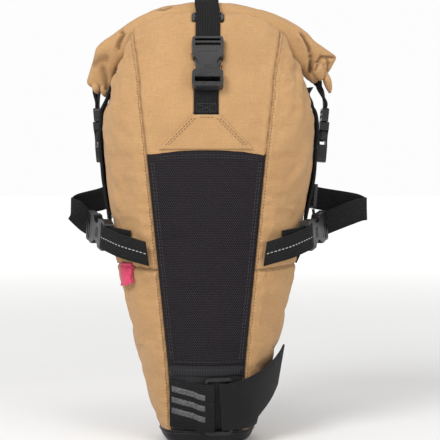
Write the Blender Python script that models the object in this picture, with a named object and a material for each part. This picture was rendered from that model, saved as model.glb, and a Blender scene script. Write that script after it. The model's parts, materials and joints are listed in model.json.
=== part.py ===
"""A roll-top saddle bag for a bicycle, standing on its narrow seatpost end.

Frame: +Z runs along the bag from the seatpost end to the rolled mouth, -Y is the face that lies under
the saddle, and the origin is the middle of the flat base.  Metres throughout.

The bag is a tapering box of sewn panels.  Its mouth is rolled and held down by a centre strap and by two
side straps, two looped straps go over the saddle rails, and a wide hook-and-loop strap holds the
seatpost.  Each side-release buckle is a socket, a plug and two prongs that are squeezed to let go.
"""

import math
from collections import namedtuple

import bmesh
import bpy
from mathutils import Matrix, Vector

# Driving dimensions.
FABRIC = 0.0020            # shell cloth with its lining
SEAM_GAP = 0.0008          # left between neighbouring panels
WEB_WIDTH = 0.025          # strap webbing
WEB_THICK = 0.0016
WIDE_WEB = 0.050           # seatpost strap
WIDE_THICK = 0.0022
REST_GAP = 0.0006          # between a piece and what it lies on
RING_LIFT = 0.0010         # the seatpost ring spans the bow of the bag's face

# Heights of the cross seams, up from the base.
BOOT_TOP = 0.014
GRIP_TOP = 0.083
GUSSET_SEAM = 0.182
BACK_SEAM = 0.150
SADDLE_TOP = 0.305
PATCH_TOP = 0.341
RIM = 0.4205

FRONT_CROWN = 0.006        # how far the front face bows between its seams
BACK_CROWN = 0.012
GUSSET_POWER = 1.25        # 1 is an ellipse; more cuts the corner flatter

# The rolled mouth: an arch that drops and swings back towards its ends.
ROLL_HALF_SPAN = 0.124
ROLL_RIGHT_STRETCH = 1.05    # the right end of the roll is looser and hangs further out
ROLL_FOOT = 0.376
ROLL_RISE = 0.067
ROLL_Y = -0.011
ROLL_END_Y = 0.018
ROLL_HALF_HEIGHT = (0.0195, 0.0140)   # in the middle, and at the ends
ROLL_HALF_DEPTH = (0.0175, 0.0130)
ROLL_BORE_HALF_HEIGHT = (0.0130, 0.0095)
ROLL_BORE_HALF_DEPTH = 0.0034
ROLL_STRIP_HALF_HEIGHT = (0.0105, 0.0070)

# Side-release buckle, in its own frame: +Z from socket to plug, -Y is its outer face.
BUCKLE_WIDTH = 0.032
BUCKLE_THICK = 0.0100
SOCKET_LENGTH = 0.0435
PLUG_LENGTH = 0.0145
PRONG_LENGTH = 0.0210
BUCKLE_TRAVEL = 0.0215
CAVITY_HALF_WIDTH = 0.0138
CAVITY_HALF_THICK = 0.0031
CAVITY_DEPTH = 0.0262
SLOT_HALF_WIDTH = 0.0130
CUT_THROUGH = 0.02         # longer than any moulding is thick
PRONG_PIVOT = 0.0095       # sideways, from the buckle's middle
PRONG_THICK = 0.0052
PLUG_THICK = 0.0072
GLIDE_THICK = 0.0026

# Where each buckle's mouth is, and which way its plug leaves.
CENTRE_MOUTH = (0.0015, -0.0575, 0.4080)
CENTRE_LEAN = math.radians(24)
CLOSURE_MOUTH_X = {-1: 0.1175, 1: 0.1265}
CLOSURE_TILT = math.radians(5)
LOCK_DROP = {-1: 0.102, 1: 0.091}    # from a closure buckle's mouth down to its ladder lock
RAIL_REACH = {-1: 0.148, 1: 0.174}

Station = namedtuple("Station", "height half_width front_seam front back back_seam widest")
STATIONS = (
    Station(0.000, 0.0430, 0.0370, -0.044, 0.038, 0.030, -0.002),
    Station(BOOT_TOP, 0.0510, 0.0385, -0.049, 0.044, 0.034, -0.002),
    Station(0.040, 0.0600, 0.0390, -0.053, 0.051, 0.037, -0.002),
    Station(GRIP_TOP, 0.0705, 0.0415, -0.057, 0.061, 0.043, -0.002),
    Station(GUSSET_SEAM, 0.0950, 0.0510, -0.065, 0.077, 0.056, -0.004),
    Station(SADDLE_TOP, 0.1080, 0.0626, -0.075, 0.086, 0.066, -0.008),
    Station(0.365, 0.1095, 0.0690, -0.066, 0.074, 0.068, -0.014),
    Station(RIM, 0.0970, 0.0745, -0.037, 0.006, 0.070, -0.017),
)
FRONT_STEPS, GUSSET_STEPS, BACK_STEPS = 7, 5, 5
LEVELS = (0.0, BOOT_TOP, 0.040, GRIP_TOP, 0.13, BACK_SEAM, GUSSET_SEAM, 0.225, 0.265, SADDLE_TOP,
          PATCH_TOP, 0.365, 0.395, RIM)


# ---------------------------------------------------------------- materials

def make_material(name, colour, roughness, metallic=0.0):
    material = bpy.data.materials.new(name)
    material.use_nodes = True
    shader = material.node_tree.nodes["Principled BSDF"]
    shader.inputs["Base Color"].default_value = (*colour, 1.0)
    shader.inputs["Roughness"].default_value = roughness
    shader.inputs["Metallic"].default_value = metallic
    material.diffuse_color = (*colour, 1.0)
    return material


def make_materials():
    return {
        "tan": make_material("tan_canvas", (0.56, 0.35, 0.17), 0.85),
        "ballistic": make_material("black_ballistic", (0.020, 0.017, 0.022), 0.80),
        "grip": make_material("black_mesh", (0.012, 0.012, 0.014), 0.75),
        "boot": make_material("coated_base", (0.018, 0.017, 0.020), 0.55),
        "web": make_material("black_webbing", (0.013, 0.013, 0.015), 0.70),
        "plastic": make_material("acetal", (0.055, 0.053, 0.056), 0.38),
        "sheet": make_material("stiffener_sheet", (0.55, 0.55, 0.52), 0.50),
        "tag": make_material("pink_tape", (0.82, 0.09, 0.22), 0.70),
    }


# ---------------------------------------------------------------- mesh helpers

def add_part(name, mesh_bm, material, place=None, parent=None):
    """Makes an object whose mesh is in the frame of place, a matrix in world space."""
    bmesh.ops.recalc_face_normals(mesh_bm, faces=mesh_bm.faces)
    if mesh_bm.calc_volume(signed=True) < 0:
        bmesh.ops.reverse_faces(mesh_bm, faces=mesh_bm.faces)
    mesh = bpy.data.meshes.new(name)
    mesh_bm.to_mesh(mesh)
    mesh_bm.free()
    return place_mesh(name, mesh, material, place, parent)


def place_mesh(name, mesh, material, place=None, parent=None):
    obj = bpy.data.objects.new(name, mesh)
    bpy.context.scene.collection.objects.link(obj)
    if not mesh.materials:
        mesh.materials.append(material)
    world = place or Matrix.Identity(4)
    obj.parent = parent
    obj.matrix_basis = parent.matrix_basis.inverted() @ world if parent else world
    return obj


def add_pivot(name, place):
    """An empty on a joint's axis, which carries that joint's pieces."""
    empty = bpy.data.objects.new(name, None)
    bpy.context.scene.collection.objects.link(empty)
    empty.empty_display_size = 0.01
    empty.matrix_basis = place
    return empty


def grid_solid(outer, inner):
    """A closed plate between two grids of points, each a list of rows."""
    made = bmesh.new()
    tops = [[made.verts.new(p) for p in row] for row in outer]
    unders = [[made.verts.new(p) for p in row] for row in inner]
    rows, columns = len(outer), len(outer[0])
    for i in range(rows - 1):
        for j in range(columns - 1):
            made.faces.new((tops[i][j], tops[i][j + 1], tops[i + 1][j + 1], tops[i + 1][j]))
            made.faces.new((unders[i][j], unders[i + 1][j], unders[i + 1][j + 1], unders[i][j + 1]))
    for j in range(columns - 1):
        made.faces.new((tops[0][j], unders[0][j], unders[0][j + 1], tops[0][j + 1]))
        made.faces.new((tops[-1][j], tops[-1][j + 1], unders[-1][j + 1], unders[-1][j]))
    for i in range(rows - 1):
        made.faces.new((tops[i][0], tops[i + 1][0], unders[i + 1][0], unders[i][0]))
        made.faces.new((tops[i][-1], unders[i][-1], unders[i + 1][-1], tops[i + 1][-1]))
    return made


def ring_solid(rings, bores=None):
    """A swept body through closed rings of points, capped, or open through a matching set of bore rings."""
    made = bmesh.new()
    skin = [[made.verts.new(p) for p in ring] for ring in rings]
    count = len(rings[0])

    def stitch(walls):
        for low, high in zip(walls, walls[1:]):
            for j in range(count):
                k = (j + 1) % count
                made.faces.new((low[j], low[k], high[k], high[j]))

    stitch(skin)
    if not bores:
        made.faces.new(skin[0])
        made.faces.new(skin[-1])
        return made
    hollow = [[made.verts.new(p) for p in ring] for ring in bores]
    stitch(hollow)
    for end in (0, -1):
        for j in range(count):
            k = (j + 1) % count
            made.faces.new((skin[end][j], skin[end][k], hollow[end][k], hollow[end][j]))
    return made


def prism(outline, thickness):
    """An outline in the XZ plane, extruded along Y to both sides of the plane."""
    made = bmesh.new()
    face = made.faces.new([made.verts.new((x, -thickness / 2, z)) for x, z in outline])
    grown = bmesh.ops.extrude_face_region(made, geom=[face])["geom"]
    moved = [item for item in grown if isinstance(item, bmesh.types.BMVert)]
    bmesh.ops.translate(made, verts=moved, vec=(0, thickness, 0))
    return made


def arc(centre, radius, start, end, steps):
    """Points on a circle from one angle to another, in degrees."""
    angles = [math.radians(start + (end - start) * i / steps) for i in range(steps + 1)]
    return [(centre[0] + radius * math.cos(a), centre[1] + radius * math.sin(a)) for a in angles]


def mirrored(half):
    """A closed outline from its right half, which runs from top to bottom."""
    return list(half) + [(-x, z) for x, z in reversed(half)]


def box_mesh(low, high):
    made = bmesh.new()
    bmesh.ops.create_cube(made, size=1.0)
    centre, size = (Vector(low) + Vector(high)) / 2, Vector(high) - Vector(low)
    bmesh.ops.scale(made, vec=size, verts=made.verts)
    bmesh.ops.translate(made, vec=centre, verts=made.verts)
    return made


def cut_mesh(name, body_bm, cutters, material):
    """The mesh of a body with boxes cut from it.  Each cutter is a pair of corners."""
    body = add_part(name + "_blank", body_bm, material)
    for index, (low, high) in enumerate(cutters):
        tool = add_part(f"{name}_cutter_{index}", box_mesh(low, high), material)
        tool.hide_render = True
        tool.display_type = "WIRE"
        cut = body.modifiers.new("cut", "BOOLEAN")
        cut.object = tool
        cut.operation = "DIFFERENCE"
        cut.solver = "EXACT"
    bpy.context.view_layer.update()
    graph = bpy.context.evaluated_depsgraph_get()
    mesh = bpy.data.meshes.new_from_object(body.evaluated_get(graph))
    mesh.name = name
    helpers = [body] + [modifier.object for modifier in body.modifiers]
    for helper in helpers:
        bpy.data.objects.remove(helper)
    return mesh


def frame_matrix(origin, side, axis):
    """A frame at origin whose X is near side and whose Z is axis."""
    z = Vector(axis).normalized()
    y = z.cross(Vector(side)).normalized()
    x = y.cross(z)
    turn = Matrix((x, y, z)).transposed().to_4x4()
    return Matrix.Translation(Vector(origin)) @ turn


def smoothstep(t):
    t = min(1.0, max(0.0, t))
    return t * t * (3 - 2 * t)


# ---------------------------------------------------------------- the bag's surface

def station_at(height):
    """The bag's cross-section sizes at a height, eased between the stations with a cubic."""
    h = min(max(height, STATIONS[0].height), STATIONS[-1].height)
    i = max(k for k in range(len(STATIONS) - 1) if STATIONS[k].height <= h)
    before, low = STATIONS[max(i - 1, 0)], STATIONS[i]
    high, after = STATIONS[i + 1], STATIONS[min(i + 2, len(STATIONS) - 1)]
    span = high.height - low.height
    t = (h - low.height) / span
    values = []
    for a, b, c, d in zip(before, low, high, after):
        slope_low = (c - a) / (high.height - before.height) * span
        slope_high = (d - b) / (after.height - low.height) * span
        values.append(
            b * (2 * t**3 - 3 * t**2 + 1) + slope_low * (t**3 - 2 * t**2 + t)
            + c * (3 * t**2 - 2 * t**3) + slope_high * (t**3 - t**2)
        )
    return Station(*values)


def roll_drop(x):
    """How far the rolled mouth has dropped at x, from its middle."""
    share = min(1.0, abs(x) / ROLL_HALF_SPAN) ** 2.4
    return ROLL_RISE * (1 - (1 - share) ** 0.625)


def settle(x, y, height):
    """A point of the shell, lowered near the rim so that the rim follows the roll above it."""
    ease = smoothstep((height - SADDLE_TOP) / (RIM - SADDLE_TOP))
    return Vector((x, y, height - roll_drop(x) * ease))


def front_point(x, height):
    s = station_at(height)
    return settle(x, s.front + FRONT_CROWN * (x / s.front_seam) ** 2, height)


def gusset_point(side, t, height):
    """A point on a side panel: t is 0 at the front seam, 1 where the bag is widest, 2 at the back seam."""
    s = station_at(height)
    seam_front, seam_back = s.front + FRONT_CROWN, s.back - BACK_CROWN
    turn = math.pi / 2 * (t if t <= 1 else t - 1)
    rise, fall = max(0.0, math.sin(turn)) ** GUSSET_POWER, max(0.0, math.cos(turn)) ** GUSSET_POWER
    if t <= 1:
        x = s.front_seam + (s.half_width - s.front_seam) * rise
        y = s.widest - (s.widest - seam_front) * fall
    else:
        x = s.back_seam + (s.half_width - s.back_seam) * fall
        y = s.widest + (seam_back - s.widest) * rise
    return settle(side * x, y, height)


def back_point(x, height):
    s = station_at(height)
    return settle(x, s.back - BACK_CROWN * (x / s.back_seam) ** 2, height)


def columns_of(part):
    """Functions from a height to a point, one for each column of a panel, running clockwise from above."""
    if part == "front":
        shares = [2 * i / FRONT_STEPS - 1 for i in range(FRONT_STEPS + 1)]
        return [lambda h, a=a: front_point(a * station_at(h).front_seam, h) for a in shares]
    if part == "back":
        shares = [1 - 2 * i / BACK_STEPS for i in range(BACK_STEPS + 1)]
        return [lambda h, a=a: back_point(a * station_at(h).back_seam, h) for a in shares]
    side = 1 if part == "right" else -1
    turns = [i / GUSSET_STEPS for i in range(2 * GUSSET_STEPS + 1)]
    ordered = turns if side > 0 else list(reversed(turns))
    return [lambda h, t=t: gusset_point(side, t, h) for t in ordered]


def shell_normal(columns, j, height):
    """The outward normal at column j of a panel, from differences along it and a millimetre up it."""
    step = 0.001
    before, after = columns[max(j - 1, 0)], columns[min(j + 1, len(columns) - 1)]
    along = after(height) - before(height)
    up = columns[j](min(height + step, RIM)) - columns[j](max(height - step, 0.0))
    return along.cross(up).normalized()


def panel_solid(part, low, high, lift=0.0, thickness=FABRIC):
    """A panel between two heights.  It is pulled in from its seams, and can be lifted off the shell."""
    columns = columns_of(part)
    heights = [low + SEAM_GAP / 2] + [h for h in LEVELS if low + 0.004 < h < high - 0.004]
    heights.append(high - SEAM_GAP / 2)
    normals = [[shell_normal(columns, j, h) for j in range(len(columns))] for h in heights]
    outer = [[column(h) for column in columns] for h in heights]
    for row in outer:
        row[0] += (row[1] - row[0]).normalized() * (SEAM_GAP / 2 + thickness / 3)
        row[-1] += (row[-2] - row[-1]).normalized() * (SEAM_GAP / 2 + thickness / 3)
    skin = [[p + n * lift for p, n in zip(*pair)] for pair in zip(outer, normals)]
    lining = [[p + n * (lift - thickness) for p, n in zip(*pair)] for pair in zip(outer, normals)]
    return grid_solid(skin, lining)


def gusset_at_depth(side, y, height):
    """The point of a side panel at a given y, found by halving."""
    low, high = 0.0, 2.0
    while high - low > 1e-4:
        t = (low + high) / 2
        low, high = (t, high) if gusset_point(side, t, height).y < y else (low, t)
    return gusset_point(side, low, height)


def shell_strip(columns, middles, half_width, lifts, thickness):
    """A strap laid across columns of the shell, lifted off it by a distance given for each column."""
    skin, under = [], []
    for edge in (-1, 0, 1):
        heights = [middle + edge * half_width for middle in middles]
        points = [column(h) for column, h in zip(columns, heights)]
        normals = [shell_normal(columns, j, h) for j, h in enumerate(heights)]
        skin.append([p + n * (lift + thickness / 2) for p, n, lift in zip(points, normals, lifts)])
        under.append([p + n * (lift - thickness / 2) for p, n, lift in zip(points, normals, lifts)])
    return grid_solid(skin, under)


def build_shell(mats):
    add_part("saddle_face_panel", panel_solid("front", GRIP_TOP, SADDLE_TOP), mats["ballistic"])
    add_part("front_upper_panel", panel_solid("front", SADDLE_TOP, RIM), mats["tan"])
    add_part("seatpost_grip_patch", panel_solid("front", BOOT_TOP, GRIP_TOP), mats["grip"])
    for side in ("left", "right"):
        add_part(f"{side}_gusset_lower", panel_solid(side, BOOT_TOP, GUSSET_SEAM), mats["tan"])
        add_part(f"{side}_gusset_upper", panel_solid(side, GUSSET_SEAM, RIM), mats["tan"])
    add_part("back_lower_panel", panel_solid("back", BOOT_TOP, BACK_SEAM), mats["boot"])
    add_part("back_upper_panel", panel_solid("back", BACK_SEAM, RIM), mats["tan"])


def build_boot(mats):
    """The coated cap that closes the narrow end: a shallow tray with a flat base."""
    wall, lip = 0.0022, BOOT_TOP - SEAM_GAP / 2
    columns = columns_of("front") + columns_of("right")[1:] + columns_of("back")[1:]
    columns += columns_of("left")[1:-1]

    def ring(height, inset):
        points = [column(height) for column in columns]
        return [Vector((p.x * (1 - inset / 0.045), p.y * (1 - inset / 0.045), height)) for p in points]

    made = bmesh.new()
    rings = [ring(0.0, 0.002), ring(0.002, 0.0), ring(lip, 0.0)]
    rings += [ring(lip, wall), ring(0.0035, wall)]
    loops = [[made.verts.new(p) for p in points] for points in rings]
    count = len(columns)
    for low, high in zip(loops, loops[1:]):
        for j in range(count):
            k = (j + 1) % count
            made.faces.new((low[j], low[k], high[k], high[j]))
    made.faces.new(loops[0])
    made.faces.new(loops[-1])
    add_part("base_boot", made, mats["boot"])


def build_strap_patch(mats):
    """The trapezium that spreads the centre strap's pull into the front panel."""
    rows = ((SADDLE_TOP + 0.001, 0.0500), (0.323, 0.0320), (PATCH_TOP, 0.0130))
    steps = 6
    skin, under = [], []
    for height, half in rows:
        line = [front_point(half * (2 * i / steps - 1), height) for i in range(steps + 1)]
        skin.append([p + Vector((0, -REST_GAP - 0.0012, 0)) for p in line])
        under.append([p + Vector((0, -REST_GAP, 0)) for p in line])
    add_part("strap_patch", grid_solid(skin, under), mats["tan"])


def build_stiffeners(mats):
    """The plastic sheets that hold the bag's shape: one behind the saddle face, one in the base."""
    behind = FABRIC + REST_GAP + 0.0010
    rows = (0.030, 0.083, 0.150, 0.220, 0.290)
    steps = 4
    skin, lining = [], []
    for height in rows:
        half = station_at(height).front_seam - 0.008
        line = [front_point(half * (2 * i / steps - 1), height) for i in range(steps + 1)]
        skin.append([p + Vector((0, behind, 0)) for p in line])
        lining.append([p + Vector((0, behind + 0.0015, 0)) for p in line])
    add_part("frame_sheet", grid_solid(skin, lining), mats["sheet"])
    outline = [(x * 0.036, y * 0.034) for x, y in arc((0, 0), 1.0, 0, 345, 23)]
    plate = bmesh.new()
    for z in (0.0042, 0.0060):
        plate.faces.new([plate.verts.new((x, y, z)) for x, y in outline])
    bmesh.ops.bridge_loops(plate, edges=plate.edges)
    add_part("base_stiffener", plate, mats["sheet"])


# ---------------------------------------------------------------- the rolled mouth

def roll_centre(share):
    """The roll's middle line: share runs from -1 at the left end to 1 at the right."""
    angle = share * math.pi / 2
    x = math.copysign(ROLL_HALF_SPAN * abs(math.sin(angle)) ** (2 / 2.4), share)
    z = ROLL_FOOT + ROLL_RISE * max(0.0, math.cos(angle)) ** 1.25
    y = ROLL_Y + (ROLL_END_Y - ROLL_Y) * (x / ROLL_HALF_SPAN) ** 2
    return Vector((x * (ROLL_RIGHT_STRETCH if x > 0 else 1.0), y, z))


def roll_ring(share, half_height, half_depth, points=12):
    """A flattened ring round the roll's middle line."""
    here = roll_centre(share)
    ahead, behind = roll_centre(min(share + 0.02, 1)), roll_centre(max(share - 0.02, -1))
    tangent = (ahead - behind).normalized()
    depth = Vector((0, 1, 0)) - tangent * tangent.y
    depth.normalize()
    up = depth.cross(tangent) * -1
    ring, flat = [], 0.75
    for i in range(points):
        a = 2 * math.pi * i / points
        c = math.copysign(abs(math.cos(a)) ** flat, math.cos(a))
        s = math.copysign(abs(math.sin(a)) ** flat, math.sin(a))
        ring.append(here + depth * (half_depth * c) + up * (half_height * s))
    return ring


def taper(pair, share):
    return pair[0] + (pair[1] - pair[0]) * abs(share) ** 3


def build_roll(mats):
    """The mouth's cloth, rolled into a flattened tube, and the stiffener strip inside it."""
    steps, strip_share, strip_half_depth = 14, 0.93, 0.0008
    shares = [2 * i / steps - 1 for i in range(steps + 1)]
    skin = [roll_ring(s, taper(ROLL_HALF_HEIGHT, s), taper(ROLL_HALF_DEPTH, s)) for s in shares]
    bore = [roll_ring(s, taper(ROLL_BORE_HALF_HEIGHT, s), ROLL_BORE_HALF_DEPTH) for s in shares]
    add_part("roll_top_closure", ring_solid(skin, bore), mats["tan"])
    strip = [s * strip_share for s in shares]
    rings = [roll_ring(s, taper(ROLL_STRIP_HALF_HEIGHT, s), strip_half_depth, 8) for s in strip]
    add_part("roll_stiffener", ring_solid(rings), mats["sheet"])


# ---------------------------------------------------------------- webbing

def ribbon(path, width_towards, width=WEB_WIDTH, thickness=WEB_THICK, slant=0.0):
    """A flat strap along the middle of its thickness.  slant makes its far end a diagonal cut."""
    points = [Vector(p) for p in path]
    skin, under = [], []
    for i, p in enumerate(points):
        tangent = (points[min(i + 1, len(points) - 1)] - points[max(i - 1, 0)]).normalized()
        across = Vector(width_towards) - tangent * tangent.dot(Vector(width_towards))
        across.normalize()
        normal = tangent.cross(across)
        trim = tangent * (slant if i == len(points) - 1 else 0.0)
        edges = (p - across * width / 2, p + across * width / 2 - trim)
        skin.append([e + normal * thickness / 2 for e in edges])
        under.append([e - normal * thickness / 2 for e in edges])
    return grid_solid(skin, under)


def add_ribbon(name, path, width_towards, material, place=None, parent=None, **shape):
    """A ribbon given by world points, stored in the frame of place."""
    made = ribbon(path, width_towards, **shape)
    home = place or Matrix.Translation(Vector(path[0]))
    made.transform(home.inverted())
    return add_part(name, made, material, home, parent)


# ---------------------------------------------------------------- side-release buckle

def socket_mesh(mats):
    """The sewn half: a flat box with a cavity for the prongs, side windows and a webbing slot."""
    half, corner = BUCKLE_WIDTH / 2, 0.004
    window = arc((0.0182, -0.0172), 0.0088, 112, 248, 8)
    right = [(half - 0.0015, 0.0), (half, -0.0015), (half - 0.0004, -0.0080)] + window
    right += [(half - 0.0003, -0.0275), (half, -0.0360)]
    right += arc((half - corner, corner - SOCKET_LENGTH), corner, 0, -90, 3)
    cavity = (
        (-CAVITY_HALF_WIDTH, -CAVITY_HALF_THICK, -CAVITY_DEPTH),
        (CAVITY_HALF_WIDTH, CAVITY_HALF_THICK, CUT_THROUGH),
    )
    slot = ((-SLOT_HALF_WIDTH, -CUT_THROUGH, -0.0388), (SLOT_HALF_WIDTH, CUT_THROUGH, -0.0330))
    body = prism(mirrored(right), BUCKLE_THICK)
    return cut_mesh("buckle_socket", body, (cavity, slot), mats["plastic"])


def plug_mesh(mats):
    """The half that the webbing runs through: a ladder of bars and a thin tongue between the prongs."""
    half, tongue, base, corner = BUCKLE_WIDTH / 2, 0.0030, 0.0006, 0.0025
    right = [(tongue, base - PRONG_LENGTH + 0.001), (tongue, base)]
    right += [(half - 0.0004, base), (half, 0.0030)]
    right += arc((half - corner, PLUG_LENGTH - corner), corner, 0, 90, 3)
    cuts = [
        ((-SLOT_HALF_WIDTH, -CUT_THROUGH, low), (SLOT_HALF_WIDTH, CUT_THROUGH, low + 0.0030))
        for low in (0.0040, 0.0092)
    ]
    # Thins the tongue, on both faces, to what the cavity takes.
    thin, reach, low, high = 0.002, 0.01, -PRONG_LENGTH - 0.001, base - 0.0001
    cuts.append(((-reach, -CUT_THROUGH, low), (reach, -thin, high)))
    cuts.append(((-reach, thin, low), (reach, CUT_THROUGH, high)))
    return cut_mesh("buckle_plug", prism(mirrored(right), PLUG_THICK), cuts, mats["plastic"])


def prong_mesh(side):
    """A springy arm with its hook outwards, about its own pivot."""
    tip, root = -PRONG_LENGTH, 0.0022
    outline = [(PRONG_PIVOT - root, 0.0002), (PRONG_PIVOT + root, 0.0002)]
    outline += [(0.0118, -0.0080), (0.0133, -0.0105), (0.0134, -0.0160), (0.0118, tip + 0.001)]
    outline += [(0.0100, tip), (0.0088, tip + 0.002), (0.0092, -0.0120)]
    made = prism([(side * (x - PRONG_PIVOT), z) for x, z in outline], PRONG_THICK)
    bmesh.ops.recalc_face_normals(made, faces=made.faces)
    mesh = bpy.data.meshes.new(f"buckle_prong_{'left' if side < 0 else 'right'}")
    made.to_mesh(mesh)
    made.free()
    return mesh


def buckle_meshes(mats):
    """The four mouldings that every buckle shares: socket, plug, and the two prongs."""
    return {"socket": socket_mesh(mats), "plug": plug_mesh(mats), "prongs": [prong_mesh(-1), prong_mesh(1)]}


def add_buckle(name, meshes, frame, mats, socket_parent=None, plug_parent=None):
    """A buckle whose frame's origin is the middle of the socket's mouth."""
    plastic = mats["plastic"]
    place_mesh(f"{name}_socket", meshes["socket"], plastic, frame, socket_parent)
    place_mesh(f"{name}_plug", meshes["plug"], plastic, frame, plug_parent)
    for side, label, mesh in zip((-1, 1), ("left", "right"), meshes["prongs"]):
        hinge = frame @ Matrix.Translation((side * PRONG_PIVOT, 0, 0))
        pivot = add_pivot(f"pivot_{name}_prong_{label}", hinge)
        if plug_parent:
            pivot.parent = plug_parent
            pivot.matrix_basis = plug_parent.matrix_basis.inverted() @ hinge
        prong = place_mesh(f"{name}_prong_{label}", mesh, plastic)
        prong.parent = pivot


# ---------------------------------------------------------------- centre strap

def build_centre_strap(mats, meshes):
    """The strap over the roll: sewn to the back, buckled to a short strap sewn under the front patch."""
    frame = Matrix.Translation(CENTRE_MOUTH) @ Matrix.Rotation(-CENTRE_LEAN, 4, "X")
    plug_pivot = add_pivot("pivot_centre_buckle_plug", frame)
    add_buckle("centre_buckle", meshes, frame, mats, plug_parent=plug_pivot)

    off_bag = 2 * REST_GAP + WEB_THICK / 2
    path = [back_point(0, h) + Vector((0, off_bag, 0)) for h in (0.300, 0.335, 0.365, 0.390)]
    middle = roll_centre(0)
    reach = Vector((ROLL_HALF_DEPTH[0], ROLL_HALF_HEIGHT[0])) + Vector((1, 1)) * (off_bag + 0.0008)
    for degrees in (15, 45, 68, 90, 112, 138):
        a = math.radians(degrees)
        # The roll's section is squarer than an ellipse, and this keeps the strap clear of its shoulders.
        bulge = (1 + 0.30 * abs(math.sin(2 * a)) ** 2) ** 0.5
        path.append(middle + Vector((0, reach.x * math.cos(a) * bulge, reach.y * math.sin(a) * bulge)))
    behind_plug = PLUG_THICK / 2 + REST_GAP + WEB_THICK / 2
    path += [frame @ Vector((0, behind_plug, v)) for v in (0.0480, 0.0400, 0.0080)]
    add_ribbon("centre_strap_upper", path, (1, 0, 0), mats["web"])

    low = front_point(0, PATCH_TOP + 0.0008) + Vector((0, -off_bag, 0))
    high = front_point(0, 0.3745) + Vector((0, -off_bag - 0.0004, 0))
    bow = (low + high) / 2 + Vector((0, -0.0008, 0))
    add_ribbon("centre_strap_lower", (low, bow, high), (1, 0, 0), mats["web"])

    half_width, half_height, corner = 0.0165, 0.0050, 0.002
    edge = [(half_width - corner, half_height), (half_width, half_height - corner)]
    outline = mirrored(edge + [(x, -z) for x, z in reversed(edge)])
    slots = [
        ((-SLOT_HALF_WIDTH, -CUT_THROUGH, low), (SLOT_HALF_WIDTH, CUT_THROUGH, low + 0.0022))
        for low in (-0.0035, 0.0013)
    ]
    glide = cut_mesh("triglide", prism(outline, GLIDE_THICK), slots, mats["plastic"])
    behind_strap = behind_plug + WEB_THICK / 2 + REST_GAP + GLIDE_THICK / 2
    home = frame @ Matrix.Translation((0, behind_strap, 0.0440))
    glide_pivot = add_pivot("pivot_centre_triglide", home)
    place_mesh("centre_triglide", glide, mats["plastic"], home, glide_pivot)


# ---------------------------------------------------------------- side straps

def build_closure_side(side, mats, meshes):
    """A roll end's buckle, and the strap that pulls it down to a ladder lock on the bag's side."""
    word = "left" if side < 0 else "right"
    mouth = Vector((side * CLOSURE_MOUTH_X[side], 0.0220, 0.3380))
    lock_drop = LOCK_DROP[side]
    axis = Vector((side * math.sin(CLOSURE_TILT), 0, math.cos(CLOSURE_TILT)))
    frame = frame_matrix(mouth, (0, side, 0), axis)
    socket_pivot = add_pivot(f"pivot_{word}_closure_socket", frame)
    add_buckle(f"{word}_closure_buckle", meshes, frame, mats, socket_parent=socket_pivot)

    roll_end = roll_centre(side) - Vector((0, 0, 0.0030))
    tab = [roll_end] + [frame @ Vector((0, 0, PLUG_LENGTH + above)) for above in (0.0060, 0.0008)]
    add_ribbon(f"{word}_closure_tab", tab, (0, 1, 0), mats["web"])

    inward = BUCKLE_THICK / 2 + REST_GAP + WEB_THICK / 2
    run = [frame @ Vector((0, inward, v)) for v in (-0.0300, -0.0550, 0.0250 - lock_drop)]
    add_ribbon(f"{word}_side_strap", run, (0, 1, 0), mats["web"], frame, socket_pivot)

    hinge = frame @ Matrix.Translation((0, 0.0030, -lock_drop))
    lock_pivot = add_pivot(f"pivot_{word}_ladder_lock", hinge)
    outline = mirrored([(0.0150, 0.0235), (0.0160, 0.0205), (0.0160, -0.0010), (0.0145, -0.0030)])
    slots = [
        ((-SLOT_HALF_WIDTH, -CUT_THROUGH, low), (SLOT_HALF_WIDTH, CUT_THROUGH, low + 0.0034))
        for low in (0.0010, 0.0080, 0.0145)
    ]
    lock = cut_mesh("ladder_lock", prism(outline, 0.0036), slots, mats["plastic"])
    place_mesh(f"{word}_ladder_lock", lock, mats["plastic"], hinge, lock_pivot)

    start, bend = hinge @ Vector((0, 0, -0.0040)), hinge @ Vector((0, 0, -0.0180))
    foot = gusset_at_depth(side, start.y - WEB_WIDTH / 2, GUSSET_SEAM + 0.004)
    foot = Vector((foot.x + side * 0.0020, start.y, foot.z))
    add_ribbon(f"{word}_lock_anchor", (start, bend, foot), (0, 1, 0), mats["web"])


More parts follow.
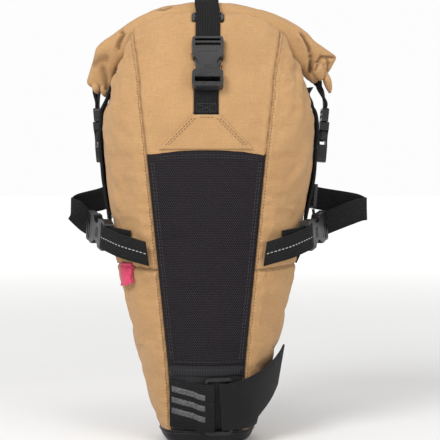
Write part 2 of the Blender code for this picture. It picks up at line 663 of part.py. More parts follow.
def build_rail_side(side, mats, meshes):
    """A saddle-rail strap: sewn to the bag, buckled at the bag's corner, and looped out to the side."""
    word = "left" if side < 0 else "right"
    axis = Vector((side * 0.415, 0.885, 0.205)).normalized()
    mouth = Vector((side * 0.1210, 0.0040, 0.2245))
    up = Vector((0, 0, 1)) - axis * axis.z
    frame = frame_matrix(mouth, up * -side, axis)
    plug_pivot = add_pivot(f"pivot_{word}_rail_plug", frame)
    add_buckle(f"{word}_rail_buckle", meshes, frame, mats, plug_parent=plug_pivot)
    across = up.normalized()

    def level(point, origin):
        """The point moved along the buckle's width until it is level with origin."""
        return point - across * (point - origin).dot(across)

    tail = frame @ Vector((0, 0, -SOCKET_LENGTH - 0.0008))
    leave = frame @ Vector((0, 0.0010, -SOCKET_LENGTH - 0.0060))
    seat = level(gusset_point(side, 0.42, 0.2030), tail) + Vector((side * 0.0022, -0.0022, 0))
    add_ribbon(f"{word}_rail_anchor", (tail, leave, seat), across, mats["web"])

    outside = BUCKLE_THICK / 2 + REST_GAP + WEB_THICK / 2
    root = frame @ Vector((0, -outside, 0.0040 - SOCKET_LENGTH))
    clear = frame @ Vector((0, -outside, -SOCKET_LENGTH - 0.0040))
    corner = front_point(side * (station_at(0.196).front_seam + 0.004), 0.196)
    end = level(corner + Vector((side * 0.002, -0.0055, 0)), root)
    middle = clear.lerp(end, 0.5) + Vector((side * 0.0050, -0.0050, 0))
    home = frame_matrix(root, axis, across)
    tail_pivot = add_pivot(f"pivot_{word}_rail_tail", home)
    path = (root, clear, level(middle, root), end)
    add_ribbon(f"{word}_rail_tail", path, across, mats["web"], home, tail_pivot, slant=0.006)

    start = frame @ Vector((0, 0, PLUG_LENGTH + 0.0008))
    anchor = gusset_point(side, 1.45, 0.2560) + Vector((side * 0.0030, 0.0016, 0))
    turn = Vector((side * RAIL_REACH[side], (start.y + anchor.y) / 2, (start.z + anchor.z) / 2 + 0.002))
    out, back = RAIL_REACH[side] - abs(start.x), RAIL_REACH[side] - abs(anchor.x)
    path = [start,
            frame @ Vector((0, 0, PLUG_LENGTH + 0.0080)),
            turn + Vector((-side * 0.25 * out, -0.0085, -0.002)),
            turn + Vector((-side * 0.03 * out, -0.0050, 0)),
            turn + Vector((-side * 0.03 * out, 0.0050, 0.001)),
            turn + Vector((-side * 0.16 * back, 0.0130, 0.005)),
            turn + Vector((-side * 0.55 * back, 0.0190, 0.010)),
            anchor + Vector((side * 0.010, 0.0050, 0.002)),
            anchor]
    add_ribbon(f"{word}_rail_loop", path, across, mats["web"], frame, plug_pivot)


# ---------------------------------------------------------------- seatpost strap and tag

def front_columns(places):
    return [lambda h, x=x: front_point(x, h) for x in places]


def build_seatpost_strap(mats):
    """A wide hook-and-loop strap: a grippy half, a ring, and a half that folds back on itself."""
    middle, ring_thick, ring_low, ring_high = 0.0410, 0.0030, -0.0020, 0.0270
    flat = REST_GAP + WIDE_THICK / 2
    over = 2 * REST_GAP + RING_LIFT + ring_thick + WIDE_THICK / 2 + 0.0005

    grip = front_columns((-0.0375, -0.0250, -0.0130, -0.0050, 0.0020, 0.0085))
    middles = [middle + rise for rise in (0.0035, 0.0020, 0.0008, 0.0, -0.0004, -0.0008)]
    lifts = (flat, flat, flat + 0.0008, over - 0.0002, over, over)
    strap = shell_strip(grip, middles, WIDE_WEB / 2, lifts, WIDE_THICK)
    add_part("seatpost_grip_strap", strap, mats["web"])

    half_width, half_height, bar, corner = (ring_high - ring_low) / 2, 0.0305, 0.0038, 0.003
    edge = [(half_width - corner, half_height), (half_width, half_height - corner)]
    outline = mirrored(edge + [(x, -z) for x, z in reversed(edge)])
    hole = (
        (bar - half_width, -CUT_THROUGH, bar - half_height),
        (half_width - bar, CUT_THROUGH, half_height - bar),
    )
    ring = cut_mesh("ring", prism(outline, ring_thick), (hole,), mats["plastic"])
    left, right = front_point(ring_low, middle), front_point(ring_high, middle)
    upward = front_point(0, middle + half_height) - front_point(0, middle - half_height)
    seat = (left + right) / 2 + Vector((0, -REST_GAP - RING_LIFT - ring_thick / 2, 0))
    place_mesh("seatpost_ring", ring, mats["plastic"], frame_matrix(seat, right - left, upward))

    sides = [0.0310, 0.0360]
    loop = front_columns(sides) + [lambda h, t=t: gusset_point(1, t, h) for t in (0.10, 0.30, 0.50, 0.70)]
    strap = shell_strip(loop, [0.0400] * len(loop), 0.0230, [flat] * len(loop), 0.0016)
    add_part("seatpost_loop_strap", strap, mats["web"])

    root = front_point(0.0150, middle) + Vector((0, -over, 0))
    home = frame_matrix(root, (1, 0, 0), upward)
    tab_pivot = add_pivot("pivot_seatpost_hook_tab", home)
    over_ring = front_point(0.0280, middle + 0.0008) + Vector((0, -over - 0.0008, 0))
    # It passes the ring, then turns back beside the bag and rises.
    path = [root, over_ring, (0.0420, -0.0570, 0.0470), (0.0560, -0.0460, 0.0550),
            (0.0670, -0.0300, 0.0635), (0.0745, -0.0120, 0.0710), (0.0790, 0.0040, 0.0770)]
    add_ribbon("seatpost_hook_tab", path, upward + Vector((0.0120, 0, 0)), mats["web"], home, tab_pivot,
               width=WIDE_WEB, thickness=WIDE_THICK)


def build_seatpost_pad(mats):
    """The strip of padding that rests on the seatpost: flat outside, curved to the bag inside."""
    low, high, half, proud = GRIP_TOP - 0.0100, GRIP_TOP - 0.0010, 0.0360, 0.0022
    steps = 6
    places = [half * (2 * i / steps - 1) for i in range(steps + 1)]
    under = [[front_point(x, h) + Vector((0, -REST_GAP, 0)) for x in places] for h in (low, high)]
    crest = [front_point(0, h).y - proud for h in (low, high)]
    skin = [[Vector((x, y, h)) for x in places] for h, y in zip((low, high), crest)]
    add_part("seatpost_pad", grid_solid(skin, under), mats["grip"])


def build_tag(mats):
    """The folded cloth tag that hangs from the left side seam."""
    high, low, thick = GUSSET_SEAM + 0.008, GUSSET_SEAM - 0.017, 0.0010
    columns = [lambda h, t=t: gusset_point(-1, t, h) for t in (0.88, 0.74, 0.60)]
    middle = (high + low) / 2
    made = shell_strip(columns, [middle] * len(columns), (high - low) / 2, [0.0022] * len(columns), thick)
    hinge = (columns[0](high) + columns[-1](high)) / 2
    home = frame_matrix(hinge, columns[-1](high) - columns[0](high), (0, 0, 1))
    pivot = add_pivot("pivot_side_tag", home)
    made.transform(home.inverted())
    add_part("side_tag", made, mats["tag"], home, pivot)


def main():
    for obj in list(bpy.data.objects):
        bpy.data.objects.remove(obj)
    mats = make_materials()
    meshes = buckle_meshes(mats)
    build_shell(mats)
    build_boot(mats)
    build_strap_patch(mats)
    build_stiffeners(mats)
    build_roll(mats)
    build_centre_strap(mats, meshes)
    for side in (-1, 1):
        build_closure_side(side, mats, meshes)
        build_rail_side(side, mats, meshes)
    build_seatpost_strap(mats)
    build_seatpost_pad(mats)
    build_tag(mats)


main()
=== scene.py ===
"""The looks of a roll-top saddle bag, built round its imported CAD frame.  Metres, in the frame's own axes.

The cloth body is one lofted skin measured off the CAD panels, swollen by a cloth simulation that is pinned
along the seams.  Panels, straps and stitches are laid on that skin, and the mouldings are the CAD's own
solids with softened edges and added detail.
"""

import json
import math

import bmesh
import bpy
import numpy as np
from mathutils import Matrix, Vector, noise
from mathutils.bvhtree import BVHTree
from mathutils.kdtree import KDTree

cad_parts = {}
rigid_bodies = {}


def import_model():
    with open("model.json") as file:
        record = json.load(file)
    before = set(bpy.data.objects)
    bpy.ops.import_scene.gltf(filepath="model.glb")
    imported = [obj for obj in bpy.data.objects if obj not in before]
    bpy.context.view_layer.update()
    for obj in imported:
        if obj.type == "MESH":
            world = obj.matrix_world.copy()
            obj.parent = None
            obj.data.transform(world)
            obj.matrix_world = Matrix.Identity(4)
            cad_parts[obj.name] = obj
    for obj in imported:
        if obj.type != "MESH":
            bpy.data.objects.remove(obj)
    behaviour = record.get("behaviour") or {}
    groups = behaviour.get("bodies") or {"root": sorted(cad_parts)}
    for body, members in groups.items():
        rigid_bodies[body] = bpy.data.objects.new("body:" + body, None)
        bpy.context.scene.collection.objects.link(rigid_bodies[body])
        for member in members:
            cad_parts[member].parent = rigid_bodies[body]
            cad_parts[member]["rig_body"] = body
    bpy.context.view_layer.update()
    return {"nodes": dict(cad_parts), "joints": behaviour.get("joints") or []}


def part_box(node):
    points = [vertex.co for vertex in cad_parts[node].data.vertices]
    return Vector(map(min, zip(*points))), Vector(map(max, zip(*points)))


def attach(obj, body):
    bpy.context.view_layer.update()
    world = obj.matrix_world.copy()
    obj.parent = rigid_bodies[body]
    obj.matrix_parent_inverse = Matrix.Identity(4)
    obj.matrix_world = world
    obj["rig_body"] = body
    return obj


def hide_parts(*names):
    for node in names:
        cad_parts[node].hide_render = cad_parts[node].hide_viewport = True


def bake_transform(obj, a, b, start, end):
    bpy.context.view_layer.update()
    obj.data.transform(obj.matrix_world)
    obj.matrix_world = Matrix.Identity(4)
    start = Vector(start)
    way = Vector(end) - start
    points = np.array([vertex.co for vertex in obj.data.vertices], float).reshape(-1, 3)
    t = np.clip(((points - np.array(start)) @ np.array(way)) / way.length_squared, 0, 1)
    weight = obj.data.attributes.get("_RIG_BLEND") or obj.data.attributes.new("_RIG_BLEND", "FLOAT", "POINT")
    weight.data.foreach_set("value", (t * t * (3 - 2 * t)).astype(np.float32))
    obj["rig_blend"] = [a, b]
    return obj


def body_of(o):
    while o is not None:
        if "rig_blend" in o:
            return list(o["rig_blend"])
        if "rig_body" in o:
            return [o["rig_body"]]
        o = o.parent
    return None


for item in list(bpy.data.objects):
    bpy.data.objects.remove(item)
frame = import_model()
NODES = frame["nodes"]
JOINTS = frame["joints"]
BAG = "bag"

# Sizes of things that the CAD frame leaves out.
VOXEL = 0.0042             # cell of the mesh that the cloth simulation runs on
SWELL_CAP = 0.0034         # how far the simulation may push the cloth out
GROOVE_WIDTH = 0.0019
GROOVE_DEPTH = 0.0018
STITCH_PITCH = 0.0036
STITCH_LENGTH = 0.0027
STITCH_RADIUS = 0.00038
PANEL_INSET = 0.0006        # how far the laid panels stop short of the seams


# ---------------------------------------------------------------- measuring the frame

def tree_of(names):
    """A search tree of some CAD nodes."""
    points, faces = [], []
    for name in names:
        base, mesh = len(points), NODES[name].data
        points += [v.co.copy() for v in mesh.vertices]
        faces += [[base + i for i in p.vertices] for p in mesh.polygons]
    return BVHTree.FromPolygons(points, faces)


def object_tree(obj):
    """A search tree of an object's final mesh."""
    graph = bpy.context.evaluated_depsgraph_get()
    mesh = obj.evaluated_get(graph).to_mesh()
    points = [v.co.copy() for v in mesh.vertices]
    tree = BVHTree.FromPolygons(points, [list(p.vertices) for p in mesh.polygons])
    obj.evaluated_get(graph).to_mesh_clear()
    return tree


def strap_stations(name, width):
    """A CAD strap as a list of (middle, vector across its width), read from the rim of its mesh."""
    raw = np.array([v.co for v in NODES[name].data.vertices])
    points, index = np.unique(np.round(raw, 5), axis=0, return_inverse=True)
    index = index.reshape(-1)
    gaps = np.linalg.norm(points[:, None] - points[None], axis=2)
    np.fill_diagonal(gaps, 1.0)
    partner = gaps.argmin(axis=1)
    pair = np.minimum(partner, np.arange(len(points)))
    middles = {p: (points[p] + points[partner[p]]) / 2 for p in set(pair)}
    links = {p: set() for p in middles}
    for polygon in NODES[name].data.polygons:
        corners = {pair[index[i]] for i in polygon.vertices}
        if len(corners) == 2:
            a, b = corners
            links[a].add(b)
            links[b].add(a)
    start = next(p for p in links if len(links[p]) == 2)
    cycle, last = [start], None
    while len(cycle) <= len(links):
        ahead = [p for p in links[cycle[-1]] if p != last]
        last = cycle[-1]
        if ahead[0] == start:
            break
        cycle.append(ahead[0])
    ring = np.array([middles[p] for p in cycle])
    best = None
    for extra in (0, 2):
        # extra counts the rim's points in the middles of the two ends.
        length = (len(ring) - extra) // 2
        for k in range(len(ring)):
            turned = np.roll(ring, -k, axis=0)
            one, other = turned[:length], turned[length + extra // 2:2 * length + extra // 2][::-1]
            fault = np.abs(np.linalg.norm(one - other, axis=1) - width).mean()
            if best is None or fault < best[0] - 1e-6:
                best = (fault, one, other)
    return [(Vector((a + b) / 2), Vector(b - a)) for a, b in zip(best[1], best[2])]


def node_edge_height(name, top=True):
    low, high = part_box(name)
    return high.z if top else low.z


def seam_half_width(inner, outer, height, facing):
    """Half the width of a front or back panel at a height: where rays along Y stop meeting it first."""
    low, high = 0.010, 0.100
    for _ in range(12):
        middle = (low + high) / 2
        origin = Vector((middle, facing * 0.3, height))
        way = Vector((0, -facing, 0))
        near = inner.ray_cast(origin, way)[3] or 9.0
        far = outer.ray_cast(origin, way)[3] or 9.0
        low, high = (middle, high) if near < far else (low, middle)
    return (low + high) / 2


# ---------------------------------------------------------------- materials

def scaled(tone, factor):
    return tuple(min(1.0, part * factor) for part in tone)


class Shader:
    """A material being made: short calls that add nodes and link them."""

    def __init__(self, name, colour, roughness, **settings):
        self.material = bpy.data.materials.new(name)
        self.material.use_nodes = True
        self.material.diffuse_color = (*colour, 1)
        self.tree = self.material.node_tree
        self.surface = self.tree.nodes["Principled BSDF"]
        self.surface.inputs["Base Color"].default_value = (*colour, 1)
        self.surface.inputs["Roughness"].default_value = roughness
        for key, value in settings.items():
            self.surface.inputs[key.replace("_", " ")].default_value = value

    def node(self, kind, **settings):
        made = self.tree.nodes.new(kind)
        for key, value in settings.items():
            setattr(made, key, value)
        return made

    def feed(self, socket, value):
        if isinstance(value, bpy.types.NodeSocket):
            self.tree.links.new(value, socket)
        else:
            socket.default_value = value

    def math(self, operation, *values):
        made = self.node("ShaderNodeMath", operation=operation)
        for socket, value in zip(made.inputs, values):
            self.feed(socket, value)
        return made.outputs[0]

    def noise(self, vector, scale, detail=3.0, roughness=0.55):
        made = self.node("ShaderNodeTexNoise")
        self.feed(made.inputs["Vector"], vector)
        self.feed(made.inputs["Scale"], scale)
        self.feed(made.inputs["Detail"], detail)
        self.feed(made.inputs["Roughness"], roughness)
        return made.outputs["Fac"]

    def mix(self, share, first, second):
        made = self.node("ShaderNodeMix", data_type="RGBA")
        self.feed(made.inputs[0], share)
        self.feed(made.inputs[6], (*first, 1) if isinstance(first, tuple) else first)
        self.feed(made.inputs[7], (*second, 1) if isinstance(second, tuple) else second)
        return made.outputs[2]

    def veil(self, base, share, strength, colour):
        """Lays a colour over the base where a share is high."""
        return self.mix(self.math("MULTIPLY", share, strength), base, colour)

    def choose(self, share, first, second):
        made = self.node("ShaderNodeMix", data_type="FLOAT")
        self.feed(made.inputs[0], share)
        self.feed(made.inputs[2], first)
        self.feed(made.inputs[3], second)
        return made.outputs[0]

    def spread(self, value, low, high, to_low=0.0, to_high=1.0):
        made = self.node("ShaderNodeMapRange")
        for socket, number in zip(made.inputs, (value, low, high, to_low, to_high)):
            self.feed(socket, number)
        return made.outputs[0]

    def parts(self, vector):
        made = self.node("ShaderNodeSeparateXYZ")
        self.feed(made.inputs[0], vector)
        return made.outputs

    def joined(self, x, y):
        made = self.node("ShaderNodeCombineXYZ")
        self.feed(made.inputs[0], x)
        self.feed(made.inputs[1], y)
        return made.outputs[0]

    def place(self):
        return self.node("ShaderNodeTexCoord").outputs["Object"]

    def cloth_axes(self):
        """Two distances along the cloth, from the rest position and the way the cloth faces."""
        x, y, z = self.parts(self.place())
        facing = self.node("ShaderNodeTexCoord").outputs["Normal"]
        nx, ny, nz = [self.math("ABSOLUTE", part) for part in self.parts(facing)]
        sideways = self.math("GREATER_THAN", nx, ny)
        flat = self.math("GREATER_THAN", nz, 0.75)
        return self.choose(sideways, x, y), self.choose(flat, z, y)

    def strap_axes(self):
        """Distance along a strap and across it, in metres, from its UV map."""
        u, v, _ = self.parts(self.node("ShaderNodeTexCoord").outputs["UV"])
        return u, v

    def wave(self, distance, pitch, shift=0.0):
        return self.math("SINE", self.math("MULTIPLY_ADD", distance, 2 * math.pi / pitch, shift))

    def bump(self, height, distance, strength=1.0):
        made = self.node("ShaderNodeBump")
        self.feed(made.inputs["Height"], height)
        self.feed(made.inputs["Distance"], distance)
        self.feed(made.inputs["Strength"], strength)
        previous = self.surface.inputs["Normal"]
        if previous.is_linked:
            self.feed(made.inputs["Normal"], previous.links[0].from_socket)
        self.tree.links.new(made.outputs[0], previous)

    def colour(self, value):
        self.tree.links.new(value, self.surface.inputs["Base Color"])

    def rough(self, value):
        self.tree.links.new(value, self.surface.inputs["Roughness"])

    def ridges(self):
        """Near 1 on raised edges and near 0 in creases."""
        return self.node("ShaderNodeNewGeometry").outputs["Pointiness"]


def canvas_material():
    """Tan woven canvas: a plain weave, thick threads here and there, a cloudy dye, and rubbed edges.
    The mesh's shade attribute marks seams and creases, where shade is painted into the colour."""
    s = Shader("tan_canvas", (0.50, 0.30, 0.145), 0.88, Specular_IOR_Level=0.25, Sheen_Weight=0.12)
    u, v = s.cloth_axes()
    pitch = 0.0011
    weave = s.math("MULTIPLY", s.wave(u, pitch), s.wave(v, pitch))
    lines = s.math("MULTIPLY_ADD", s.wave(v, pitch * 2.0), 0.35, weave)
    level = s.noise(s.joined(s.math("MULTIPLY", u, 0.16), v), 480.0, 2.0)
    upright = s.noise(s.joined(u, s.math("MULTIPLY", v, 0.16)), 480.0, 2.0)
    slub = s.math("MAXIMUM", level, upright)
    cloudy = s.noise(s.place(), 26.0, 4.0)
    base = s.mix(s.spread(cloudy, 0.32, 0.70), (0.395, 0.222, 0.094), (0.470, 0.275, 0.124))
    # Painted shade and light across the weave: its valleys are darker and its raised threads lighter.
    threads = s.mix(s.spread(lines, -1.2, 1.2), (0.345, 0.190, 0.078), (0.520, 0.310, 0.142))
    base = s.mix(0.40, base, threads)
    grain = s.noise(s.place(), 1100.0, 1.0)
    # worn lightens rubbed ridges; the second mask is painted shade in concave creases.
    worn, crease_shade = s.spread(s.ridges(), 0.515, 0.58), s.spread(s.ridges(), 0.49, 0.42)
    shade = s.node("ShaderNodeAttribute", attribute_name="shade").outputs["Fac"]
    for share, strength, tone in (
        (s.spread(slub, 0.52, 0.74), 0.24, (0.580, 0.360, 0.180)),
        (s.spread(grain, 0.50, 0.72), 0.26, (0.270, 0.145, 0.056)),
        (s.spread(grain, 0.50, 0.28), 0.20, (0.620, 0.400, 0.205)),
        (worn, 0.30, (0.60, 0.39, 0.21)),
        (crease_shade, 0.55, (0.22, 0.12, 0.05)),
        (shade, 0.80, (0.135, 0.070, 0.028)),
    ):
        base = s.veil(base, share, strength, tone)
    s.colour(base)
    s.rough(s.spread(slub, 0.3, 0.7, 0.80, 0.94))
    s.bump(lines, 0.00016, 0.6)
    s.bump(slub, 0.00030, 0.45)
    s.bump(s.noise(s.place(), 140.0, 4.0), 0.0006, 0.25)
    return s.material


def ballistic_material():
    """Black basket weave with thick shiny threads in rows."""
    s = Shader("black_ballistic", (0.016, 0.014, 0.018), 0.66, Specular_IOR_Level=0.20)
    u, v = s.cloth_axes()
    across, down = 0.0021, 0.0017
    row = s.wave(v, down)
    weave = s.math("MULTIPLY", s.wave(u, across), s.wave(v, down * 2))
    height = s.math("MULTIPLY_ADD", row, 0.55, weave)
    fleck = s.noise(s.place(), 900.0, 2.0)
    lift = s.math("MULTIPLY", s.spread(height, -0.2, 1.5), s.spread(fleck, 0.35, 0.65, 0.45, 1.0))
    base = s.mix(lift, (0.0046, 0.0032, 0.0046), (0.050, 0.040, 0.050))
    s.colour(base)
    s.rough(s.spread(lift, 0.0, 1.0, 0.75, 0.48))
    s.bump(height, 0.00035, 0.8)
    return s.material


def mesh_material():
    """Open knurled mesh: round holes in staggered rows."""
    s = Shader("black_grip_mesh", (0.018, 0.018, 0.020), 0.60, Specular_IOR_Level=0.16)
    u, v = s.cloth_axes()
    pitch = 0.0034
    holes = s.math("MULTIPLY", s.wave(u, pitch), s.wave(v, pitch * 0.62))
    web = s.spread(s.math("ABSOLUTE", holes), 0.10, 0.55)
    s.colour(s.mix(web, (0.036, 0.035, 0.038), (0.004, 0.004, 0.005)))
    s.rough(s.spread(web, 0.0, 1.0, 0.50, 0.9))
    s.bump(web, 0.0008, -1.0)
    return s.material


def coated_material():
    """Black coated cloth with a fine grid under the coating."""
    s = Shader("black_coated", (0.018, 0.017, 0.020), 0.50, Specular_IOR_Level=0.20)
    u, v = s.cloth_axes()
    grid = s.math("MULTIPLY", s.wave(u, 0.0014), s.wave(v, 0.0014))
    scuff = s.noise(s.place(), 55.0, 5.0)
    base = s.mix(s.spread(scuff, 0.45, 0.75), (0.0085, 0.0078, 0.0092), (0.024, 0.022, 0.025))
    s.colour(s.veil(base, s.spread(s.ridges(), 0.52, 0.60), 0.5, (0.085, 0.082, 0.086)))
    s.rough(s.spread(scuff, 0.35, 0.7, 0.42, 0.66))
    s.bump(grid, 0.00012, 0.6)
    s.bump(scuff, 0.0005, 0.25)
    return s.material


def webbing_material(name, tracer=False):
    """Black strap webbing: herringbone ribs along it and thick edges, with an optional pale dashed tracer."""
    s = Shader(name, (0.014, 0.014, 0.015), 0.66, Specular_IOR_Level=0.12)
    u, v = s.strap_axes()
    rib = 0.0026
    lean = s.math("PINGPONG", v, rib)
    twill = s.wave(s.math("MULTIPLY_ADD", lean, 1.25, u), 0.0019)
    ribs = s.math("ABSOLUTE", s.wave(v, rib * 2))
    height = s.math("MULTIPLY_ADD", twill, 0.5, ribs)
    base = s.mix(s.spread(height, -0.3, 1.4), (0.0022, 0.0022, 0.0025), (0.017, 0.0165, 0.017))
    fuzz = s.noise(s.place(), 600.0, 3.0)
    base = s.veil(base, s.spread(fuzz, 0.55, 0.8), 0.35, (0.06, 0.06, 0.06))
    if tracer:
        inside = s.math("LESS_THAN", s.math("ABSOLUTE", v), 0.0004)
        dash = s.math("GREATER_THAN", s.wave(u, 0.0040), -0.35)
        base = s.veil(base, s.math("MULTIPLY", inside, dash), 0.80, (0.55, 0.55, 0.52))
    s.colour(base)
    s.bump(height, 0.00030, 0.8)
    return s.material


def hook_material(name, pitch=0.0016):
    """Hook or loop tape: a felt of tiny tufts in rows."""
    s = Shader(name, (0.012, 0.012, 0.013), 0.85, Specular_IOR_Level=0.15, Sheen_Weight=0.06)
    u, v = s.strap_axes()
    tufts = s.math("MULTIPLY", s.wave(u, pitch), s.wave(v, pitch))
    fuzz = s.noise(s.place(), 1300.0, 3.0)
    height = s.math("MULTIPLY_ADD", fuzz, 1.4, tufts)
    s.colour(s.mix(s.spread(height, 0.2, 1.7), (0.0040, 0.0038, 0.0042), (0.026, 0.025, 0.027)))
    s.bump(height, 0.00035, 0.9)
    return s.material


def plastic_material(name, tone, roughness):
    """Moulded acetal: faint grain, flow marks, and edges lightened as a painted highlight."""
    s = Shader(name, tone, roughness, Specular_IOR_Level=0.38)
    grain = s.noise(s.place(), 900.0, 2.0)
    flow = s.noise(s.place(), 70.0, 3.0)
    # Painted highlight: the moulding's edges are lightened.
    edge = s.spread(s.ridges(), 0.51, 0.60)
    base = s.mix(s.spread(flow, 0.35, 0.7), scaled(tone, 0.85), scaled(tone, 1.2))
    s.colour(s.veil(base, edge, 0.6, tuple(min(0.8, part * 5.0) for part in tone)))
    s.rough(s.spread(flow, 0.3, 0.7, roughness - 0.07, roughness + 0.10))
    s.bump(grain, 0.00008, 0.35)
    return s.material


def rubber_material():
    """Grey printed silicone of the strap's grip bars."""
    s = Shader("grip_bars", (0.11, 0.11, 0.115), 0.55, Specular_IOR_Level=0.3)
    mottle = s.noise(s.place(), 500.0, 3.0)
    s.colour(s.mix(s.spread(mottle, 0.35, 0.7), (0.050, 0.050, 0.054), (0.125, 0.125, 0.130)))
    s.bump(mottle, 0.0002, 0.4)
    return s.material


def tape_material(name, low, high):
    """Ribbed woven tape."""
    s = Shader(name, high, 0.72, Sheen_Weight=0.12)
    u, v = s.strap_axes()
    ribs = s.wave(u, 0.0011)
    cross = s.math("MULTIPLY_ADD", s.wave(v, 0.0009), 0.4, ribs)
    s.colour(s.mix(s.spread(cross, -1.2, 1.2), low, high))
    s.bump(cross, 0.00022, 0.7)
    return s.material


def thread_material(name, tone):
    """Twisted sewing thread."""
    s = Shader(name, tone, 0.65, Sheen_Weight=0.3)
    twist = s.noise(s.place(), 1800.0, 2.0)
    s.colour(s.mix(s.spread(twist, 0.35, 0.7), scaled(tone, 0.72), scaled(tone, 1.2)))
    s.bump(twist, 0.0001, 0.6)
    return s.material


def make_materials():
    return {
        "canvas": canvas_material(),
        "ballistic": ballistic_material(),
        "mesh": mesh_material(),
        "coated": coated_material(),
        "web": webbing_material("webbing"),
        "traced": webbing_material("webbing_with_tracer", True),
        "hook": hook_material("hook_tape"),
        "plastic": plastic_material("black_acetal", (0.009, 0.009, 0.010), 0.27),
        "plastic_grey": plastic_material("grey_acetal", (0.014, 0.014, 0.015), 0.30),
        "sheet": plastic_material("stiffener_sheet", (0.50, 0.50, 0.47), 0.5),
        "bars": rubber_material(),
        "pink": tape_material("pink_tape", (0.45, 0.018, 0.07), (0.82, 0.055, 0.17)),
        # Painted shade: the tan thread is darkened well below the cloth's tone to stand for the shadow in its
        # stitch holes.
        "thread_tan": thread_material("tan_thread_shaded", (0.120, 0.062, 0.025)),
        "thread_black": thread_material("black_thread", (0.013, 0.0125, 0.013)),
    }


MATERIALS = make_materials()


# ---------------------------------------------------------------- mesh helpers

def new_object(name, points, faces, material, smooth=True, uvs=None):
    mesh = bpy.data.meshes.new(name)
    mesh.from_pydata([tuple(p) for p in points], [], faces)
    if uvs is not None:
        layer = mesh.uv_layers.new(name="UVMap")
        order = np.empty(len(mesh.loops), np.int32)
        mesh.loops.foreach_get("vertex_index", order)
        layer.data.foreach_set("uv", np.array(uvs, np.float32)[order].ravel())
    mesh.polygons.foreach_set("use_smooth", [smooth] * len(mesh.polygons))
    mesh.materials.append(MATERIALS[material])
    obj = bpy.data.objects.new(name, mesh)
    bpy.context.scene.collection.objects.link(obj)
    return obj


def points_of(obj):
    co = np.empty(len(obj.data.vertices) * 3, np.float32)
    obj.data.vertices.foreach_get("co", co)
    return co.reshape(-1, 3).astype(float)


def set_points(obj, points):
    obj.data.vertices.foreach_set("co", points.astype(np.float32).ravel())
    obj.data.update()


def normals_of(obj):
    out = np.empty(len(obj.data.vertices) * 3, np.float32)
    obj.data.vertices.foreach_get("normal", out)
    return out.reshape(-1, 3).astype(float)


def baked(obj, name):
    """A new object that holds obj's mesh with its modifiers applied.  obj is removed."""
    bpy.context.view_layer.update()
    graph = bpy.context.evaluated_depsgraph_get()
    mesh = bpy.data.meshes.new_from_object(obj.evaluated_get(graph))
    mesh.name = name
    made = bpy.data.objects.new(name, mesh)
    bpy.context.scene.collection.objects.link(made)
    bpy.data.objects.remove(obj)
    made.name = name
    mesh.polygons.foreach_set("use_smooth", [True] * len(mesh.polygons))
    return made


def sewn(piece, slot, *stands_for, body=BAG):
    """Fixes a piece to a body and hides the soft CAD nodes that it stands for.  slot is not used."""
    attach(piece, body)
    if stands_for:
        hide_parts(*stands_for)


def quads(rows, columns, start=0, wrap=False):
    """Faces between neighbouring rows of points.  wrap also joins each row's last point to its first."""
    faces = []
    for i in range(rows - 1):
        for j in range(columns if wrap else columns - 1):
            here, beside = start + i * columns + j, start + i * columns + (j + 1) % columns
            faces.append((here, beside, beside + columns, here + columns))
    return faces


def tube_faces(rows, columns):
    """The faces of a closed tube: its side and its two ends."""
    last = (rows - 1) * columns
    ends = [tuple(reversed(range(columns))), tuple(range(last, last + columns))]
    return quads(rows, columns, wrap=True) + ends


def border(rows, columns):
    """The indices of a grid's outermost points, in order round it."""
    loop = list(range(columns)) + [i * columns + columns - 1 for i in range(1, rows)]
    loop += [(rows - 1) * columns + j for j in range(columns - 2, -1, -1)]
    return loop + [i * columns for i in range(rows - 2, 0, -1)]


def flipped(faces):
    """The same faces seen from behind, each from the same first point."""
    return [(face[0], *face[:0:-1]) for face in faces]


def leaf_faces(rows, columns, start=0):
    """The faces of a thin sheet made of a grid of points and a second one under it."""
    under = start + rows * columns
    faces = quads(rows, columns, start) + flipped(quads(rows, columns, under))
    loop = border(rows, columns)
    for a, b in zip(loop, loop[1:] + loop[:1]):
        faces.append((start + a, under + a, under + b, start + b))
    return faces


def face_outwards(mesh):
    bm = bmesh.new()
    bm.from_mesh(mesh)
    bmesh.ops.recalc_face_normals(bm, faces=bm.faces)
    bm.to_mesh(mesh)
    bm.free()


def unit(vectors):
    return vectors / np.linalg.norm(vectors, axis=1)[:, None]


def lengths_along(points):
    """How far along a path each of its points is."""
    return np.concatenate([[0], np.cumsum(np.linalg.norm(np.diff(points, axis=0), axis=1))])


def smoothstep(t):
    t = np.clip(t, 0.0, 1.0)
    return t * t * (3 - 2 * t)


def spline(points, share):
    """A Catmull-Rom curve through rows of numbers, at a share from 0 to 1 of its length in rows."""
    last = len(points) - 1
    t = min(max(share, 0.0), 1.0) * last
    i = min(int(t), last - 1)
    f = t - i
    a, b, c, d = points[max(i - 1, 0)], points[i], points[i + 1], points[min(i + 2, last)]
    return 0.5 * (2 * b + (c - a) * f + (2 * a - 5 * b + 4 * c - d) * f * f + (3 * b - a - 3 * c + d) * f**3)


def even_stations(stations, step):
    """Stations (middle, across) respaced evenly along their smooth curve, as arrays."""
    rows = np.array([[*m, *w] for m, w in stations])
    fine = np.array([spline(rows, i / 240) for i in range(241)])
    travelled = lengths_along(fine[:, :3])
    count = max(4, int(round(travelled[-1] / step)))
    marks = np.linspace(0, travelled[-1], count + 1)
    out = np.stack([np.interp(marks, travelled, fine[:, k]) for k in range(6)], axis=1)
    return out[:, :3], out[:, 3:], marks


def turned(vector, axis, angle):
    """A vector turned about a unit axis."""
    return (vector * math.cos(angle) + np.cross(axis, vector) * math.sin(angle)
            + axis * (axis @ vector) * (1 - math.cos(angle)))


